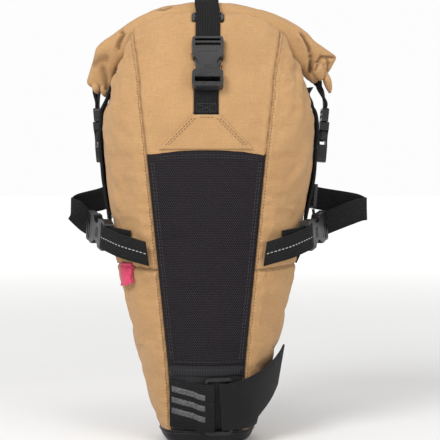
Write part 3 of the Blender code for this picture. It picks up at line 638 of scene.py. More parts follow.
def webbing(name, stations, material, thickness=0.0016, step=0.0025, ripple=0.00025, sag=None):
    """A strap swept along stations, with rounded edges and a slight waviness.  UVs are in metres.
    sag gives a drop for a share of the length."""
    centres, across, travelled = even_stations(stations, step)
    if sag:
        centres[:, 2] -= sag(travelled / travelled[-1])
    half = [(-0.500, 0.18), (-0.488, 0.46), (-0.30, 0.50), (0.0, 0.50)]
    section = half + [(-x, y) for x, y in half[-2::-1]]
    section += [(x, -y) for x, y in reversed(section)]
    tangents = unit(np.gradient(centres, axis=0))
    points, uvs = [], []
    for i, (centre, wide, tangent) in enumerate(zip(centres, across, tangents)):
        normal = np.cross(tangent, wide)
        normal /= np.linalg.norm(normal)
        wave = ripple * noise.noise(Vector(centre) * 60.0)
        for x, y in section:
            cup = ripple * 1.6 * (1 - (2 * x) ** 2) * noise.noise(Vector(centre) * 35.0 + Vector((7, 3, 1)))
            points.append(centre + wide * x + normal * (y * thickness + wave + cup))
            uvs.append((travelled[i], x * np.linalg.norm(wide)))
    obj = new_object(name, points, tube_faces(len(centres), len(section)), material, uvs=uvs)
    face_outwards(obj.data)
    return obj


class Stitching:
    """Collects short arched threads on the bag, and makes one mesh of them for each colour."""

    def __init__(self):
        self.runs = {}

    def run(self, points, normals, material="thread_tan", pitch=STITCH_PITCH, length=STITCH_LENGTH):
        """Threads of a length, one every pitch along a path."""
        points, normals = np.array(points, float), np.array(normals, float)
        travelled = lengths_along(points)
        starts = np.arange(pitch / 2, travelled[-1] - length, pitch)

        def at(values, marks):
            return np.stack([np.interp(marks, travelled, values[:, k]) for k in range(3)], axis=1)

        self.runs.setdefault(material, []).append(
            (at(points, starts), at(points, starts + length), at(normals, starts + length / 2))
        )

    def build(self):
        for material, runs in self.runs.items():
            starts, ends, normals = [np.concatenate(rows) for rows in zip(*runs)]
            ways, normals = ends - starts, unit(normals)
            sides = unit(np.cross(ways, normals))
            r = STITCH_RADIUS
            profile = ((0.0, -0.9, 0.5), (0.18, 0.45, 1.0), (0.82, 0.45, 1.0), (1.0, -0.9, 0.5))
            points = []
            for share, lift, fat in profile:
                for k in range(4):
                    a = math.pi / 4 + k * math.pi / 2
                    points.append(starts + ways * share + normals * r * (lift + fat * math.sin(a))
                                  + sides * r * fat * math.cos(a))
            points = np.stack(points, axis=1).reshape(-1, 3)
            one = tube_faces(4, 4)
            faces = [tuple(16 * n + v for v in face) for n in range(len(starts)) for face in one]
            name = f"stitches_{material.split('_')[1]}_{BAG}"
            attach(new_object(name, points, faces, material), BAG)


STITCHES = Stitching()


# ---------------------------------------------------------------- the cloth body

FRONT = ["front_upper_panel", "saddle_face_panel", "seatpost_grip_patch"]
SIDES = ["left_gusset_lower", "left_gusset_upper", "right_gusset_lower", "right_gusset_upper"]
BACK = ["back_lower_panel", "back_upper_panel"]
BODY_TOP = 0.368           # above this the loft leaves the CAD panels and closes into the roll
BODY_FLOOR = 0.010
RING_POINTS = 132
TOP_ROWS = 16
RIGHT_FULLNESS = 0.0045


def shell_ring(tree, height):
    """The CAD shell's outline at a height, from rays that come in towards the axis."""
    found = []
    for k in range(RING_POINTS):
        angle = 2 * math.pi * k / RING_POINTS
        out = Vector((math.sin(angle), -math.cos(angle), 0))
        hit = tree.ray_cast(Vector((0, 0, height)) + out * 0.3, -out)[0]
        found.append(np.array(hit) if hit and hit.dot(out) > 0.02 else None)
    for k, point in enumerate(found):
        if point is None:
            sides = [found[(k + step) % RING_POINTS] for step in (-2, -1, 1, 2)]
            near = [p for p in sides if p is not None]
            found[k] = sum(near) / len(near)
    return np.array(found)


def evened(ring):
    """A ring whose points are each drawn half way to the middle of their two neighbours."""
    return 0.25 * np.roll(ring, 1, axis=0) + 0.5 * ring + 0.25 * np.roll(ring, -1, axis=0)


def mouth_line(share):
    """Where the front and the back sheet of cloth meet, under the front of the roll."""
    roll_low, roll_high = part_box("roll_top_closure")
    half = np.where(share < 0, 0.082, 0.084)
    rise = np.maximum(0, 1 - np.abs(share) ** 2.4) ** 0.625
    z = roll_high.z - 0.0340 + 0.0255 * rise
    y = roll_low.y - 0.0012 + 0.0180 * share**2
    return np.stack([share * half, y, z], axis=1)


def body_loft():
    """Rings from the base to the mouth.  Above the CAD panels each ring point follows its own arc."""
    tree = tree_of(FRONT + SIDES + BACK + ["base_boot"])
    heights = np.linspace(BODY_FLOOR, BODY_TOP, 46)
    rings = [shell_ring(tree, h) for h in heights]
    rings = [evened(ring) for ring in rings]
    for ring, height in zip(rings, heights):
        # The right side is fuller than the left, above the rail straps.
        fuller = RIGHT_FULLNESS * smoothstep((height - 0.235) / 0.07)
        ring[:, 0] += fuller * smoothstep(ring[:, 0] / 0.095)
    last, slope = rings[-1], (rings[-1] - rings[-3]) / (heights[-1] - heights[-3])
    extent = np.where(last[:, 0] < 0, -last[:, 0].min(), last[:, 0].max())
    target = mouth_line(np.clip(last[:, 0] / extent, -1, 1))
    behind = smoothstep(last[:, 1] / 0.045)
    beside = smoothstep((np.abs(last[:, 0]) - 0.055) / 0.040)
    round_side = np.where(last[:, 0] < 0, 0.54, 0.36)
    roundness = (0.48 + (round_side - 0.48) * beside) * (1 - behind) + (0.14 + 0.12 * beside) * behind
    reach = (target[:, 2] - last[:, 2]) * roundness
    control = last + slope * reach[:, None]
    for row in range(1, TOP_ROWS + 1):
        t = row / TOP_ROWS
        rings.append(last * (1 - t) ** 2 + control * 2 * t * (1 - t) + target * t * t)
    return rings


def ring_mesh(rings):
    """Points and faces of a closed body through rings."""
    return np.concatenate(rings), tube_faces(len(rings), len(rings[0]))


# The roll is a row of flattened sections.  Each has an outer and an inner point in x and z, half its depth,
# and how boxy it is.  Outwards of the middle they lie down and become the folded ears.
ROLL_SECTIONS = (
    ((-0.1262, 0.3765), (-0.1085, 0.3705), 0.0085, 0.60),
    ((-0.1284, 0.3800), (-0.1040, 0.3695), 0.0125, 0.50),
    ((-0.1268, 0.3870), (-0.1010, 0.3760), 0.0140, 0.48),
    ((-0.1213, 0.4045), (-0.0985, 0.3880), 0.0145, 0.48),
    ((-0.1166, 0.4184), (-0.0940, 0.3980), 0.0150, 0.50),
    ((-0.1010, 0.4296), (-0.0850, 0.4060), 0.0160, 0.60),
    ((-0.0800, 0.4440), (-0.0680, 0.4120), 0.0170, 0.75),
    ((-0.0600, 0.4538), (-0.0550, 0.4180), 0.0176, 0.85),
    ((-0.0350, 0.4598), (-0.0330, 0.4220), 0.0178, 0.85),
    ((0.0000, 0.4628), (0.0000, 0.4245), 0.0178, 0.85),
    ((0.0350, 0.4600), (0.0330, 0.4225), 0.0178, 0.85),
    ((0.0610, 0.4545), (0.0560, 0.4185), 0.0176, 0.85),
    ((0.0850, 0.4452), (0.0720, 0.4120), 0.0170, 0.75),
    ((0.1045, 0.4340), (0.0860, 0.4060), 0.0160, 0.60),
    ((0.1150, 0.4236), (0.0950, 0.3990), 0.0150, 0.52),
    ((0.1270, 0.4165), (0.1010, 0.3930), 0.0145, 0.48),
    ((0.1378, 0.4085), (0.1050, 0.3880), 0.0140, 0.46),
    ((0.1362, 0.4020), (0.1075, 0.3850), 0.0135, 0.46),
    ((0.1318, 0.3925), (0.1100, 0.3830), 0.0120, 0.50),
    ((0.1290, 0.3895), (0.1140, 0.3830), 0.0085, 0.60),
)
ROLL_ALONG, ROLL_AROUND = 300, 96


def roll_depth(x):
    """The y of the roll's middle line, which swings back towards its ends."""
    return -0.0105 + 0.0300 * np.minimum(np.abs(x) / 0.122, 1.05) ** 2


def section_ring(outer, inner, half_depth, boxy, count, lap=0.0):
    """One flattened ring.  lap raises a step on it, where the last turn of cloth ends."""
    outer, inner = np.array((outer[0], 0, outer[1])), np.array((inner[0], 0, inner[1]))
    centre, half = (outer + inner) / 2, (outer - inner) / 2
    centre[1] = roll_depth(centre[0])
    angles = np.linspace(0, 2 * math.pi, count + 1)[:-1]
    c, s = np.cos(angles), np.sin(angles)
    c, s = np.sign(c) * np.abs(c) ** boxy, np.sign(s) * np.abs(s) ** boxy
    step = 1 + lap * smoothstep((angles - 0.35) / 0.05) * smoothstep((2.6 - angles) / 1.6)
    return centre + np.outer(s * step, half) + np.outer(c * step * half_depth, (0, 1, 0))


def roll_rings():
    rows = np.array([[*outer, *inner, depth, boxy] for outer, inner, depth, boxy in ROLL_SECTIONS])
    rings = []
    for i in range(ROLL_ALONG + 1):
        row = spline(rows, i / ROLL_ALONG)
        rings.append(section_ring(row[:2], row[2:4], row[4], row[5], ROLL_AROUND, 0.06))
    return capped(rings[0], rings[3])[::-1] + rings + capped(rings[-1], rings[-4])


def capped(last, before):
    """Two shrinking rings that round off an end."""
    middle = last.mean(axis=0)
    beyond = middle - before.mean(axis=0)
    closing = ((0.80, 0.35), (0.45, 0.55))
    return [middle + (last - middle) * shrink + beyond * push for shrink, push in closing]


def lobe_rings(start, end, wide, deep, boxy=0.7):
    """A small fold of cloth between two points, as rings."""
    start, end = np.array(start, float), np.array(end, float)
    way = (end - start) / np.linalg.norm(end - start)
    side = np.cross(way, (0, 1, 0))
    side /= np.linalg.norm(side)
    depth = np.cross(side, way)
    rings = []
    for t in np.linspace(0, 1, 25):
        swell = max(0.10, math.sin(math.pi * min(max(t, 0.03), 0.97)) ** 0.45)
        a = np.linspace(0, 2 * math.pi, 33)[:-1]
        c, s = np.cos(a), np.sin(a)
        c, s = np.sign(c) * np.abs(c) ** boxy, np.sign(s) * np.abs(s) ** boxy
        round_it = np.outer(c, side) * wide * swell + np.outer(s, depth) * deep * swell
        rings.append(start + (end - start) * t + round_it)
    return rings


def ear_folds():
    """The loose folds where the strap gathers each end of the roll: (start, end, half width, half depth)."""
    yield (-0.1215, 0.0060, 0.3800), (-0.1165, 0.0070, 0.3680), 0.0042, 0.0080
    yield (-0.1120, 0.0100, 0.3800), (-0.1090, 0.0120, 0.3650), 0.0045, 0.0100
    yield (0.1165, 0.0010, 0.4000), (0.1225, 0.0030, 0.3820), 0.0062, 0.0080
    yield (0.1262, 0.0060, 0.3930), (0.1322, 0.0100, 0.3690), 0.0044, 0.0090
    yield (0.1150, 0.0120, 0.3930), (0.1150, 0.0160, 0.3800), 0.0060, 0.0090


def loft_object(name, ring_sets, material="canvas"):
    """One mesh object from several sets of rings."""
    bm = bmesh.new()
    for rings in ring_sets:
        points, faces = ring_mesh(rings)
        verts = [bm.verts.new(p) for p in points]
        for face in faces:
            bm.faces.new([verts[i] for i in face])
    bmesh.ops.recalc_face_normals(bm, faces=bm.faces)
    mesh = bpy.data.meshes.new(name)
    bm.to_mesh(mesh)
    bm.free()
    mesh.polygons.foreach_set("use_smooth", [True] * len(mesh.polygons))
    mesh.materials.append(MATERIALS[material])
    obj = bpy.data.objects.new(name, mesh)
    bpy.context.scene.collection.objects.link(obj)
    return obj


def body_cloth():
    """The body's base mesh, in even squares, ready to be blown up as cloth."""
    obj = loft_object("body_base", [body_loft()])
    remesh = obj.modifiers.new("remesh", "REMESH")
    remesh.mode = "VOXEL"
    remesh.voxel_size = VOXEL
    remesh.use_smooth_shade = True
    relax = obj.modifiers.new("relax", "SMOOTH")
    relax.factor, relax.iterations = 0.5, 2
    return baked(obj, "body_cloth")


def surface_hit(tree, x, z, facing=-1):
    """The first hit on a tree of a ray along Y, from the front if facing is -1, with its normal."""
    hit, normal, _, _ = tree.ray_cast(Vector((x, facing * 0.3, z)), Vector((0, -facing, 0)))
    return hit, normal


class Seams:
    """The lines where the cloth is sewn, as functions of height, measured from the CAD panels."""

    def __init__(self):
        front, sides, back = tree_of(FRONT), tree_of(SIDES), tree_of(BACK)
        self.heights = np.linspace(node_edge_height("base_boot") + 0.002, 0.366, 60)
        self.front = np.array([seam_half_width(front, sides, h, -1) for h in self.heights])
        self.back = np.array([seam_half_width(back, sides, h, 1) for h in self.heights])
        self.cross = node_edge_height("left_gusset_lower")

    def front_x(self, height):
        """Half width at the front seams, which run on up to the mouth."""
        base = np.interp(height, self.heights, self.front)
        top = self.heights[-1]
        return base + smoothstep((height - top) / 0.075) * (0.0785 - self.front[-1]) * (height > top)

    def back_x(self, height):
        return np.interp(height, self.heights, self.back)


SEAMS = Seams()


def seam_lines(tree):
    """Each seam as a list of points on the body's surface."""
    lines = {}
    for side, word in ((-1, "left"), (1, "right")):
        heights = np.linspace(SEAMS.heights[0], 0.4400, 190)
        hits = [surface_hit(tree, side * float(SEAMS.front_x(h)), h) for h in heights]
        lines[f"front_{word}"] = [(h, n) for h, n in hits if h]
        heights = np.linspace(SEAMS.heights[0], 0.3900, 150)
        hits = [surface_hit(tree, side * float(SEAMS.back_x(h)), h, 1) for h in heights]
        lines[f"back_{word}"] = [(h, n) for h, n in hits if h]
        cross = []
        for angle in np.linspace(math.radians(40), math.radians(142), 70):
            out = Vector((side * math.sin(angle), -math.cos(angle), 0))
            height = SEAMS.cross + 0.0045 * math.sin((angle - 0.7) * 1.7)
            hit, normal, _, _ = tree.ray_cast(Vector((0, 0, height)) + out * 0.3, -out)
            half = float(SEAMS.front_x(height)) if hit and hit.y < 0 else float(SEAMS.back_x(height))
            if hit and abs(hit.x) > half + 0.001:
                cross.append((hit, normal))
        lines[f"cross_{word}"] = cross
    return lines


def tree_of_points(points):
    tree = KDTree(len(points))
    for i, p in enumerate(points):
        tree.insert(p, i)
    tree.balance()
    return tree


def distance_to(points, targets):
    """How far each point is from the nearest of the targets, and which one that is."""
    tree = tree_of_points(targets)
    found = [tree.find(p) for p in points]
    return np.array([f[2] for f in found]), np.array([f[1] for f in found])


def swell(obj, pins):
    """Blows the cloth up between pinned seams, and caps how far it went."""
    rest = points_of(obj)
    away, _ = distance_to(rest, pins)
    group = obj.vertex_groups.new(name="sewn")
    weights = np.clip(1.2 - away / 0.010, 0.0, 1.0)
    weights[rest[:, 2] < 0.022] = 1.0
    for index in np.nonzero(weights > 0.01)[0]:
        group.add([int(index)], float(weights[index]), "REPLACE")
    cloth = obj.modifiers.new("cloth", "CLOTH")
    settings = cloth.settings
    settings.effector_weights.gravity = 0
    settings.use_pressure = True
    settings.uniform_pressure_force = 4.0
    settings.vertex_group_mass = "sewn"
    settings.tension_stiffness = settings.compression_stiffness = 18
    settings.bending_stiffness = 0.8
    settings.shrink_min = -0.022
    settings.quality = 6
    cloth.collision_settings.use_collision = False
    for number in range(1, 21):
        bpy.context.scene.frame_set(number)
    graph = bpy.context.evaluated_depsgraph_get()
    moved = np.array([v.co for v in obj.evaluated_get(graph).data.vertices])
    obj.modifiers.remove(cloth)
    bpy.context.scene.frame_set(1)
    shift = moved - rest
    length = np.linalg.norm(shift, axis=1)
    shift *= (SWELL_CAP * np.tanh(length / SWELL_CAP) / np.maximum(length, 1e-9))[:, None]
    set_points(obj, rest + shift)


def wrinkle(points, normals, start, end, width, height, facing):
    """A ridge along a line, faded at its ends, only on cloth that faces the given way."""
    start, end = np.array(start), np.array(end)
    way = end - start
    t = np.clip(((points - start) @ way) / (way @ way), 0, 1)
    off = points - (start + t[:, None] * way)
    # A bend in the line keeps the fold from looking ruled.
    span = np.linalg.norm(way)
    side = np.cross(way / span, facing)
    bend = 0.10 * span * np.sin(math.pi * t) * np.sin(2.1 + 40 * (start @ (1, 2, 3)))
    off -= side * bend[:, None]
    far = np.linalg.norm(off, axis=1) / width
    fade = np.sin(math.pi * np.clip(t, 0.02, 0.98)) ** 0.7
    seen = smoothstep((normals @ np.array(facing) - 0.15) / 0.4)
    return height * (np.exp(-far**2) - 0.45 * np.exp(-((far - 1.9) / 0.8) ** 2)) * fade * seen


MM = 0.001
# Folds as (start, end, width, height), in millimetres.  Those of the side and the back are on both sides.
FRONT_FOLDS = (
    ((-74, -50, 432), (-40, -60, 395), 4.5, 1.1),
    ((-60, -40, 450), (-48, -50, 425), 3.5, 1.3),
    ((30, -40, 452), (46, -60, 405), 4.5, 1.0),
    ((72, -50, 430), (50, -60, 385), 5.0, 1.2),
    ((60, -50, 442), (30, -50, 420), 3.5, 0.9),
    ((-20, -50, 445), (-26, -60, 400), 4.0, 0.8))
SIDE_FOLDS = (
    ((95, 20, 405), (108, -30, 350), 6.0, 1.9),
    ((92, 0, 412), (104, -45, 375), 5.0, 1.7),
    ((100, 35, 395), (108, 40, 320), 6.0, 1.6),
    ((104, -10, 330), (104, -50, 280), 6.5, 1.2),
    ((100, -30, 262), (90, -58, 235), 5.5, 1.3),
    ((104, -25, 300), (84, -66, 250), 5.0, 1.2),
    ((106, -20, 395), (98, -52, 335), 4.8, 1.4),
    ((95, 45, 262), (85, 20, 205), 6.0, 1.4),
    ((90, -10, 175), (72, -30, 100), 6.5, 1.2),
    ((85, 30, 170), (65, 20, 80), 7.0, 1.1),
    ((78, 0, 120), (60, -20, 50), 5.5, 0.9))
BACK_FOLDS = (
    ((60, 50, 400), (35, 75, 350), 6.0, 1.5),
    ((30, 45, 405), (22, 80, 340), 5.0, 1.3),
    ((62, 80, 300), (30, 85, 240), 8.0, 1.2),
    ((52, 80, 210), (20, 80, 170), 7.0, 1.0))


def wrinkles():
    """The folds seen in the cloth, in metres: (start, end, width, height, facing)."""
    groups = [(FRONT_FOLDS, 1, (0, -1, 0))]
    for side in (-1, 1):
        groups += [(SIDE_FOLDS, side, (side, 0, 0)), (BACK_FOLDS, side, (0, 1, 0))]
    for folds, side, facing in groups:
        for start, end, width, height in folds:
            start, end = [np.array(place) * (side * MM, MM, MM) for place in (start, end)]
            yield start, end, width * MM, height * MM, facing


def valley(points, normals, line, width, depth, step=0.0):
    """A crease seen from the front, along a line of (x, z): the displacement, which is negative in the
    crease, and how deep in it each point is.  step sets back the cloth on its outer side."""
    line = np.array(line, float)
    best = np.full(len(points), 9.0)
    side = np.zeros(len(points))
    share = np.zeros(len(points))
    starts = lengths_along(line)
    flat = points[:, [0, 2]]
    for a, b, begun, span in zip(line, line[1:], starts, np.diff(starts)):
        way = b - a
        t = np.clip(((flat - a) @ way) / (way @ way), 0, 1)
        off = flat - (a + t[:, None] * way)
        far = np.linalg.norm(off, axis=1)
        closer = far < best
        best = np.where(closer, far, best)
        side = np.where(closer, way[0] * off[:, 1] - way[1] * off[:, 0], side)
        share = np.where(closer, (begun + t * span) / starts[-1], share)
    ends = smoothstep(share / 0.12 + 0.15) * smoothstep((1 - share) / 0.12 + 0.15)
    seen = smoothstep((-normals[:, 1] - 0.05) / 0.25) * ends
    inside = np.exp(-((best / width) ** 2)) * seen
    back = step * (side > 0) * np.exp(-best / 0.012) * smoothstep(best / 0.0022) * seen
    lip = 0.35 * depth * np.exp(-(((best - 2.2 * width) / (1.2 * width)) ** 2)) * seen * (side <= 0)
    return -depth * inside - back + lip, inside


def set_shade(obj, values):
    layer = obj.data.attributes.new("shade", "FLOAT", "POINT")
    layer.data.foreach_set("value", np.clip(values, 0, 1).astype(np.float32))


def under_panels(points, normals):
    """How far inside the border of an overlaid panel each point is, from 0 to 1."""
    x, z = np.abs(points[:, 0]), points[:, 2]
    front = np.interp(z, SEAMS.heights, SEAMS.front) - x
    back = np.interp(z, SEAMS.heights, SEAMS.back) - x

    def inside(margin, panel):
        below = node_edge_height(panel) - z
        return smoothstep((margin - 0.002) / 0.003) * smoothstep((below - 0.003) / 0.003)

    # The bottom faces neither way, and has no panel over it.
    on_front = inside(front, "saddle_face_panel") * (normals[:, 1] < 0)
    return on_front + inside(back, "back_lower_panel") * (normals[:, 1] > 0)


def detail_body(obj, lines):
    """Sinks the seams, puckers the cloth beside them, and adds folds and a slight unevenness."""
    points, normals = points_of(obj), normals_of(obj)
    moved = np.zeros(len(points))
    shade = np.zeros(len(points))
    for number, line in enumerate(lines.values()):
        seam = np.array([h for h, _ in line])
        travelled = lengths_along(seam)
        away, nearest = distance_to(points, [Vector(p) for p in seam])
        groove = np.exp(-((away / GROOVE_WIDTH) ** 2))
        ridge = 0.0004 * np.exp(-(((away - 0.0046) / 0.0024) ** 2))
        along = travelled[nearest]
        pucker = 0.0006 * np.sin(along * 2 * math.pi / 0.0155 + number + 2.0 * np.sin(along * 31))
        moved += ridge - GROOVE_DEPTH * groove + pucker * np.exp(-((away / 0.011) ** 2)) * (away > 0.0016)
        # Painted shade: a narrow dark line along each seam's groove.
        shade = np.maximum(shade, np.exp(-((away / 0.0010) ** 2)))
    for start, end, width, height, facing in wrinkles():
        strength = 1.6 if facing[0] and end[2] > 0.19 else 0.9
        moved += wrinkle(points, normals, start, end, width, height * strength, facing)
    for line, width, depth, step in body_creases():
        moved += valley(points, normals, line, width, depth, step)[0]
    uneven = np.array([noise.fractal(Vector(p) * 24.0, 0.8, 2.2, 3) for p in points])
    moved += 0.00065 * uneven
    moved = moved - 0.0016 * under_panels(points, normals)
    set_points(obj, points + normals * moved[:, None])
    set_shade(obj, shade)


def body_creases():
    """Sharp folds in the body's shoulders: (line of x and z, width, depth, step)."""
    yield ((-0.0730, 0.4230), (-0.0690, 0.4150), (-0.0560, 0.4080)), 0.0050, 0.0010, 0.0
    yield ((-0.0830, 0.4020), (-0.0760, 0.4070), (-0.0690, 0.4060)), 0.0050, 0.0011, 0.0
    yield ((0.0700, 0.3700), (0.0790, 0.3790), (0.0900, 0.3760)), 0.0055, 0.0010, 0.0


def roll_creases():
    """Folds in the ears: on the left the notch beside the body, on the right the tuck and the turned tip."""
    yield ((-0.0925, 0.4352), (-0.0885, 0.4290), (-0.0935, 0.4190), (-0.0945, 0.4120)), 0.0020, 0.0035, 0.0
    yield ((-0.1120, 0.3980), (-0.1080, 0.3850), (-0.1060, 0.3700)), 0.0030, 0.0022, 0.0
    tuck = (0.0990, 0.4330), (0.1040, 0.4270), (0.1090, 0.4160), (0.1115, 0.4050), (0.1100, 0.3880)
    yield tuck, 0.0020, 0.0045, 0.0
    tip = (0.1130, 0.3900), (0.1180, 0.4000), (0.1220, 0.4065), (0.1285, 0.4065), (0.1400, 0.4075)
    yield tip, 0.0017, 0.0030, 0.0
    yield ((0.1285, 0.4065), (0.1300, 0.3980), (0.1300, 0.3900)), 0.0017, 0.0022, 0.0
    yield ((-0.1240, 0.3980), (-0.1140, 0.4040), (-0.1040, 0.4060)), 0.0050, 0.0010, 0.0
    yield ((-0.0530, 0.4560), (-0.0450, 0.4545), (-0.0360, 0.4580)), 0.0018, 0.0020, 0.0


HARDWARE_WORDS = ("buckle", "strap", "anchor", "lock", "ring", "tail", "triglide")
HARDWARE = [n for n in NODES if any(word in n for word in HARDWARE_WORDS)
            and n != "strap_patch" and "grip" not in n]
SLIDES = {"left_closure_release": "left_side_strap", "right_closure_release": "right_side_strap",
          "centre_triglide_slide": "centre_triglide"}


def clear_hardware(obj, room, inside=0.010):
    """Presses the cloth in wherever it would come through a strap or a buckle, at rest or when it slides."""
    trees = [(tree_of(HARDWARE), Vector())]
    for joint, slides in SLIDES.items():
        joint = next(j for j in JOINTS if j["name"] == joint)
        travel = Vector(joint["axis"]) * joint["range_m"][1]
        trees += [(tree_of([slides]), travel * share) for share in (0.5, 1.0)]
    points, normals = points_of(obj), normals_of(obj)
    push = np.zeros(len(points))
    for i, (p, n) in enumerate(zip(points, normals)):
        start, way = Vector(p - n * inside), Vector(n)
        for tree, shift in trees:
            distance = tree.ray_cast(start - shift, way, inside + room)[3]
            if distance is not None:
                push[i] = max(push[i], inside + room - distance)
    neighbours = np.empty(len(obj.data.edges) * 2, np.int32)
    obj.data.edges.foreach_get("vertices", neighbours)
    a, b = neighbours.reshape(-1, 2).T
    softened = push.copy()
    for _ in range(4):
        total = np.zeros(len(points))
        count = np.zeros(len(points))
        np.add.at(total, a, softened[b])
        np.add.at(total, b, softened[a])
        np.add.at(count, a, 1)
        np.add.at(count, b, 1)
        softened = np.maximum(push, 0.5 * softened + 0.5 * total / np.maximum(count, 1))
    set_points(obj, points - normals * softened[:, None])


def build_body():
    body = body_cloth()
    lines = seam_lines(object_tree(body))
    pins = [h for line in lines.values() for h, _ in line]
    swell(body, pins)
    body.modifiers.new("refine", "SUBSURF").levels = 2
    body = baked(body, "tan_body")
    body.vertex_groups.clear()
    lines = seam_lines(object_tree(body))
    detail_body(body, lines)
    clear_hardware(body, room=0.0013)
    body.data.materials.clear()
    body.data.materials.append(MATERIALS["canvas"])
    sewn(body, "tan_canvas", "front_upper_panel", "back_upper_panel", *SIDES)
    return body


def build_roll():
    """The rolled mouth and its folded ears."""
    roll = loft_object("tan_roll", [roll_rings()] + [lobe_rings(*fold) for fold in ear_folds()])
    points, normals = points_of(roll), normals_of(roll)
    moved = 0.0009 * np.array([noise.fractal(Vector(p) * 30.0, 0.8, 2.2, 3) for p in points])
    # Slack cloth waves along the roll, most of all on top and behind.
    waves = np.sin(points[:, 0] * 190 + 3 * np.sin(points[:, 0] * 47)) * np.exp(-np.abs(points[:, 0]) / 0.15)
    moved += 0.0006 * waves * smoothstep(normals[:, 1] + 0.6)
    shade = np.zeros(len(points))
    for line, width, depth, step in roll_creases():
        shift, inside = valley(points, normals, line, width, depth, step)
        moved += shift
        # Painted shade in the ear creases, deepest inside each fold.
        shade = np.maximum(shade, 0.75 * inside)
    set_points(roll, points + normals * moved[:, None])
    set_shade(roll, shade)
    clear_hardware(roll, room=0.0018)
    sewn(roll, "tan_canvas", "roll_top_closure")
    return roll


def build_roll_stiffener():
    """The stiff strip sewn into the roll, which ends where the ears fold down."""
    stations = []
    for outer, inner, _, _ in ROLL_SECTIONS[4:15]:
        outer, inner = Vector((outer[0], 0, outer[1])), Vector((inner[0], 0, inner[1]))
        centre = (outer + inner) / 2
        centre.y = roll_depth(centre.x)
        stations.append((centre, (outer - inner) * 0.55))
    strip = webbing("roll_stiffener_strip", stations, "sheet", 0.0012, ripple=0.0)
    sewn(strip, "stiffener_sheet", "roll_stiffener")


def shade_beside(obj, other, reach=0.0011):
    """Paints shade into the cloth in the narrow crease where it meets another piece, below the ears."""
    tree = object_tree(other)
    shade = obj.data.attributes["shade"].data
    for i, point in enumerate(points_of(obj)):
        distance = tree.find_nearest(Vector(point), reach * 2.5)[3]
        if distance is not None:
            share = 0.55 * float(smoothstep((abs(point[0]) - 0.072) / 0.012))
            shade[i].value = max(shade[i].value, share * math.exp(-(distance / reach) ** 2))


BODY = build_body()
BODY_TREE = object_tree(BODY)
ROLL = build_roll()
shade_beside(BODY, ROLL)
shade_beside(ROLL, BODY)
build_roll_stiffener()


def sew_seams():
    """Topstitching on both sides of each body seam."""
    for name, line in seam_lines(BODY_TREE).items():
        points = np.array([h for h, _ in line])
        normals = np.array([n for _, n in line])
        sides = unit(np.cross(np.gradient(points, axis=0), normals))
        outer = -1 if name.endswith("left") == name.startswith("front") else 1
        rows = (0.0026,) if name.startswith("cross") else (0.0026 * outer, 0.0046 * outer)
        for offset in rows[:1] if name.startswith("front") else rows:
            laid = [BODY_TREE.find_nearest(Vector(p)) for p in points + sides * offset]
            STITCHES.run([h[0] for h in laid], [h[1] for h in laid])


sew_seams()


# ---------------------------------------------------------------- panels laid on the body

def laid_panel(name, edges, material, lift, sink, thickness, step, facing=-1, rim=0.004):
    """A panel on the front or back of the body.  edges(p, q) gives x and z for shares across and up.
    It stands off by lift in the middle and sinks at its borders."""
    corners = [np.array(edges(p, q)) for p, q in ((0, 0), (1, 0), (0, 1), (1, 1))]
    wide = max(np.linalg.norm(corners[1] - corners[0]), np.linalg.norm(corners[3] - corners[2]))
    tall = max(np.linalg.norm(corners[2] - corners[0]), np.linalg.norm(corners[3] - corners[1]))
    columns, rows = int(wide / step) + 2, int(tall / step) + 2
    hits, uvs, shares = np.zeros((rows, columns, 3)), [], np.zeros((rows, columns, 1))
    for i in range(rows):
        for j in range(columns):
            p, q = j / (columns - 1), i / (rows - 1)
            x, z = edges(p, q)
            hits[i, j] = surface_hit(BODY_TREE, x, z, facing)[0]
            border = min(p * wide, (1 - p) * wide, q * tall, (1 - q) * tall)
            shares[i, j] = float(smoothstep(border / rim))
            uvs.append((x, z))
    depth = hits[:, :, 1]
    for _ in range(6):
        padded = np.pad(depth, 1, mode="edge")
        around = padded[:-2, 1:-1] + padded[2:, 1:-1] + padded[1:-1, :-2] + padded[1:-1, 2:]
        depth[:] = around / 8 + depth / 2
    normals = np.cross(np.gradient(hits, axis=1), np.gradient(hits, axis=0)) * -facing
    normals *= np.sign(normals[:, :, 1:2] * facing) / np.linalg.norm(normals, axis=2, keepdims=True)
    places = hits + normals * (sink + (lift - sink) * shares)
    skin = list(places.reshape(-1, 3))
    under = list((places - normals * thickness).reshape(-1, 3))
    faces = leaf_faces(rows, columns)
    if facing > 0:
        faces = [tuple(reversed(face)) for face in faces]
    return new_object(name, skin + under, faces, material, uvs=uvs + uvs)


def sew_along(tree, path, facing=-1, material="thread_black"):
    """Stitches along a path of (x, z), laid on the surface of a tree."""
    hits = [surface_hit(tree, x, z, facing) for x, z in path]
    hits = [(h, n) for h, n in hits if h]
    STITCHES.run([h for h, _ in hits], [n for _, n in hits], material)


def sew_sides(tree, half_at, inset, heights, **how):
    """A row of stitches inside each side edge of a panel whose half width is half_at(z)."""
    for side in (-1, 1):
        sew_along(tree, [(side * (float(half_at(z)) - inset), z) for z in heights], **how)


def sew_across(tree, half, height_at, count, **how):
    sew_along(tree, [(x, height_at(x)) for x in np.linspace(-half, half, count)], **how)


def upright_panel(half_at, inset, low, high, bow=lambda p, q: 0.0):
    """The edges of a panel between two heights, which stops short of half_at(z) by an inset."""
    def edges(p, q):
        z = low + (high - low) * q + bow(p, q)
        return (2 * p - 1) * (float(half_at(z)) - inset), z

    return edges


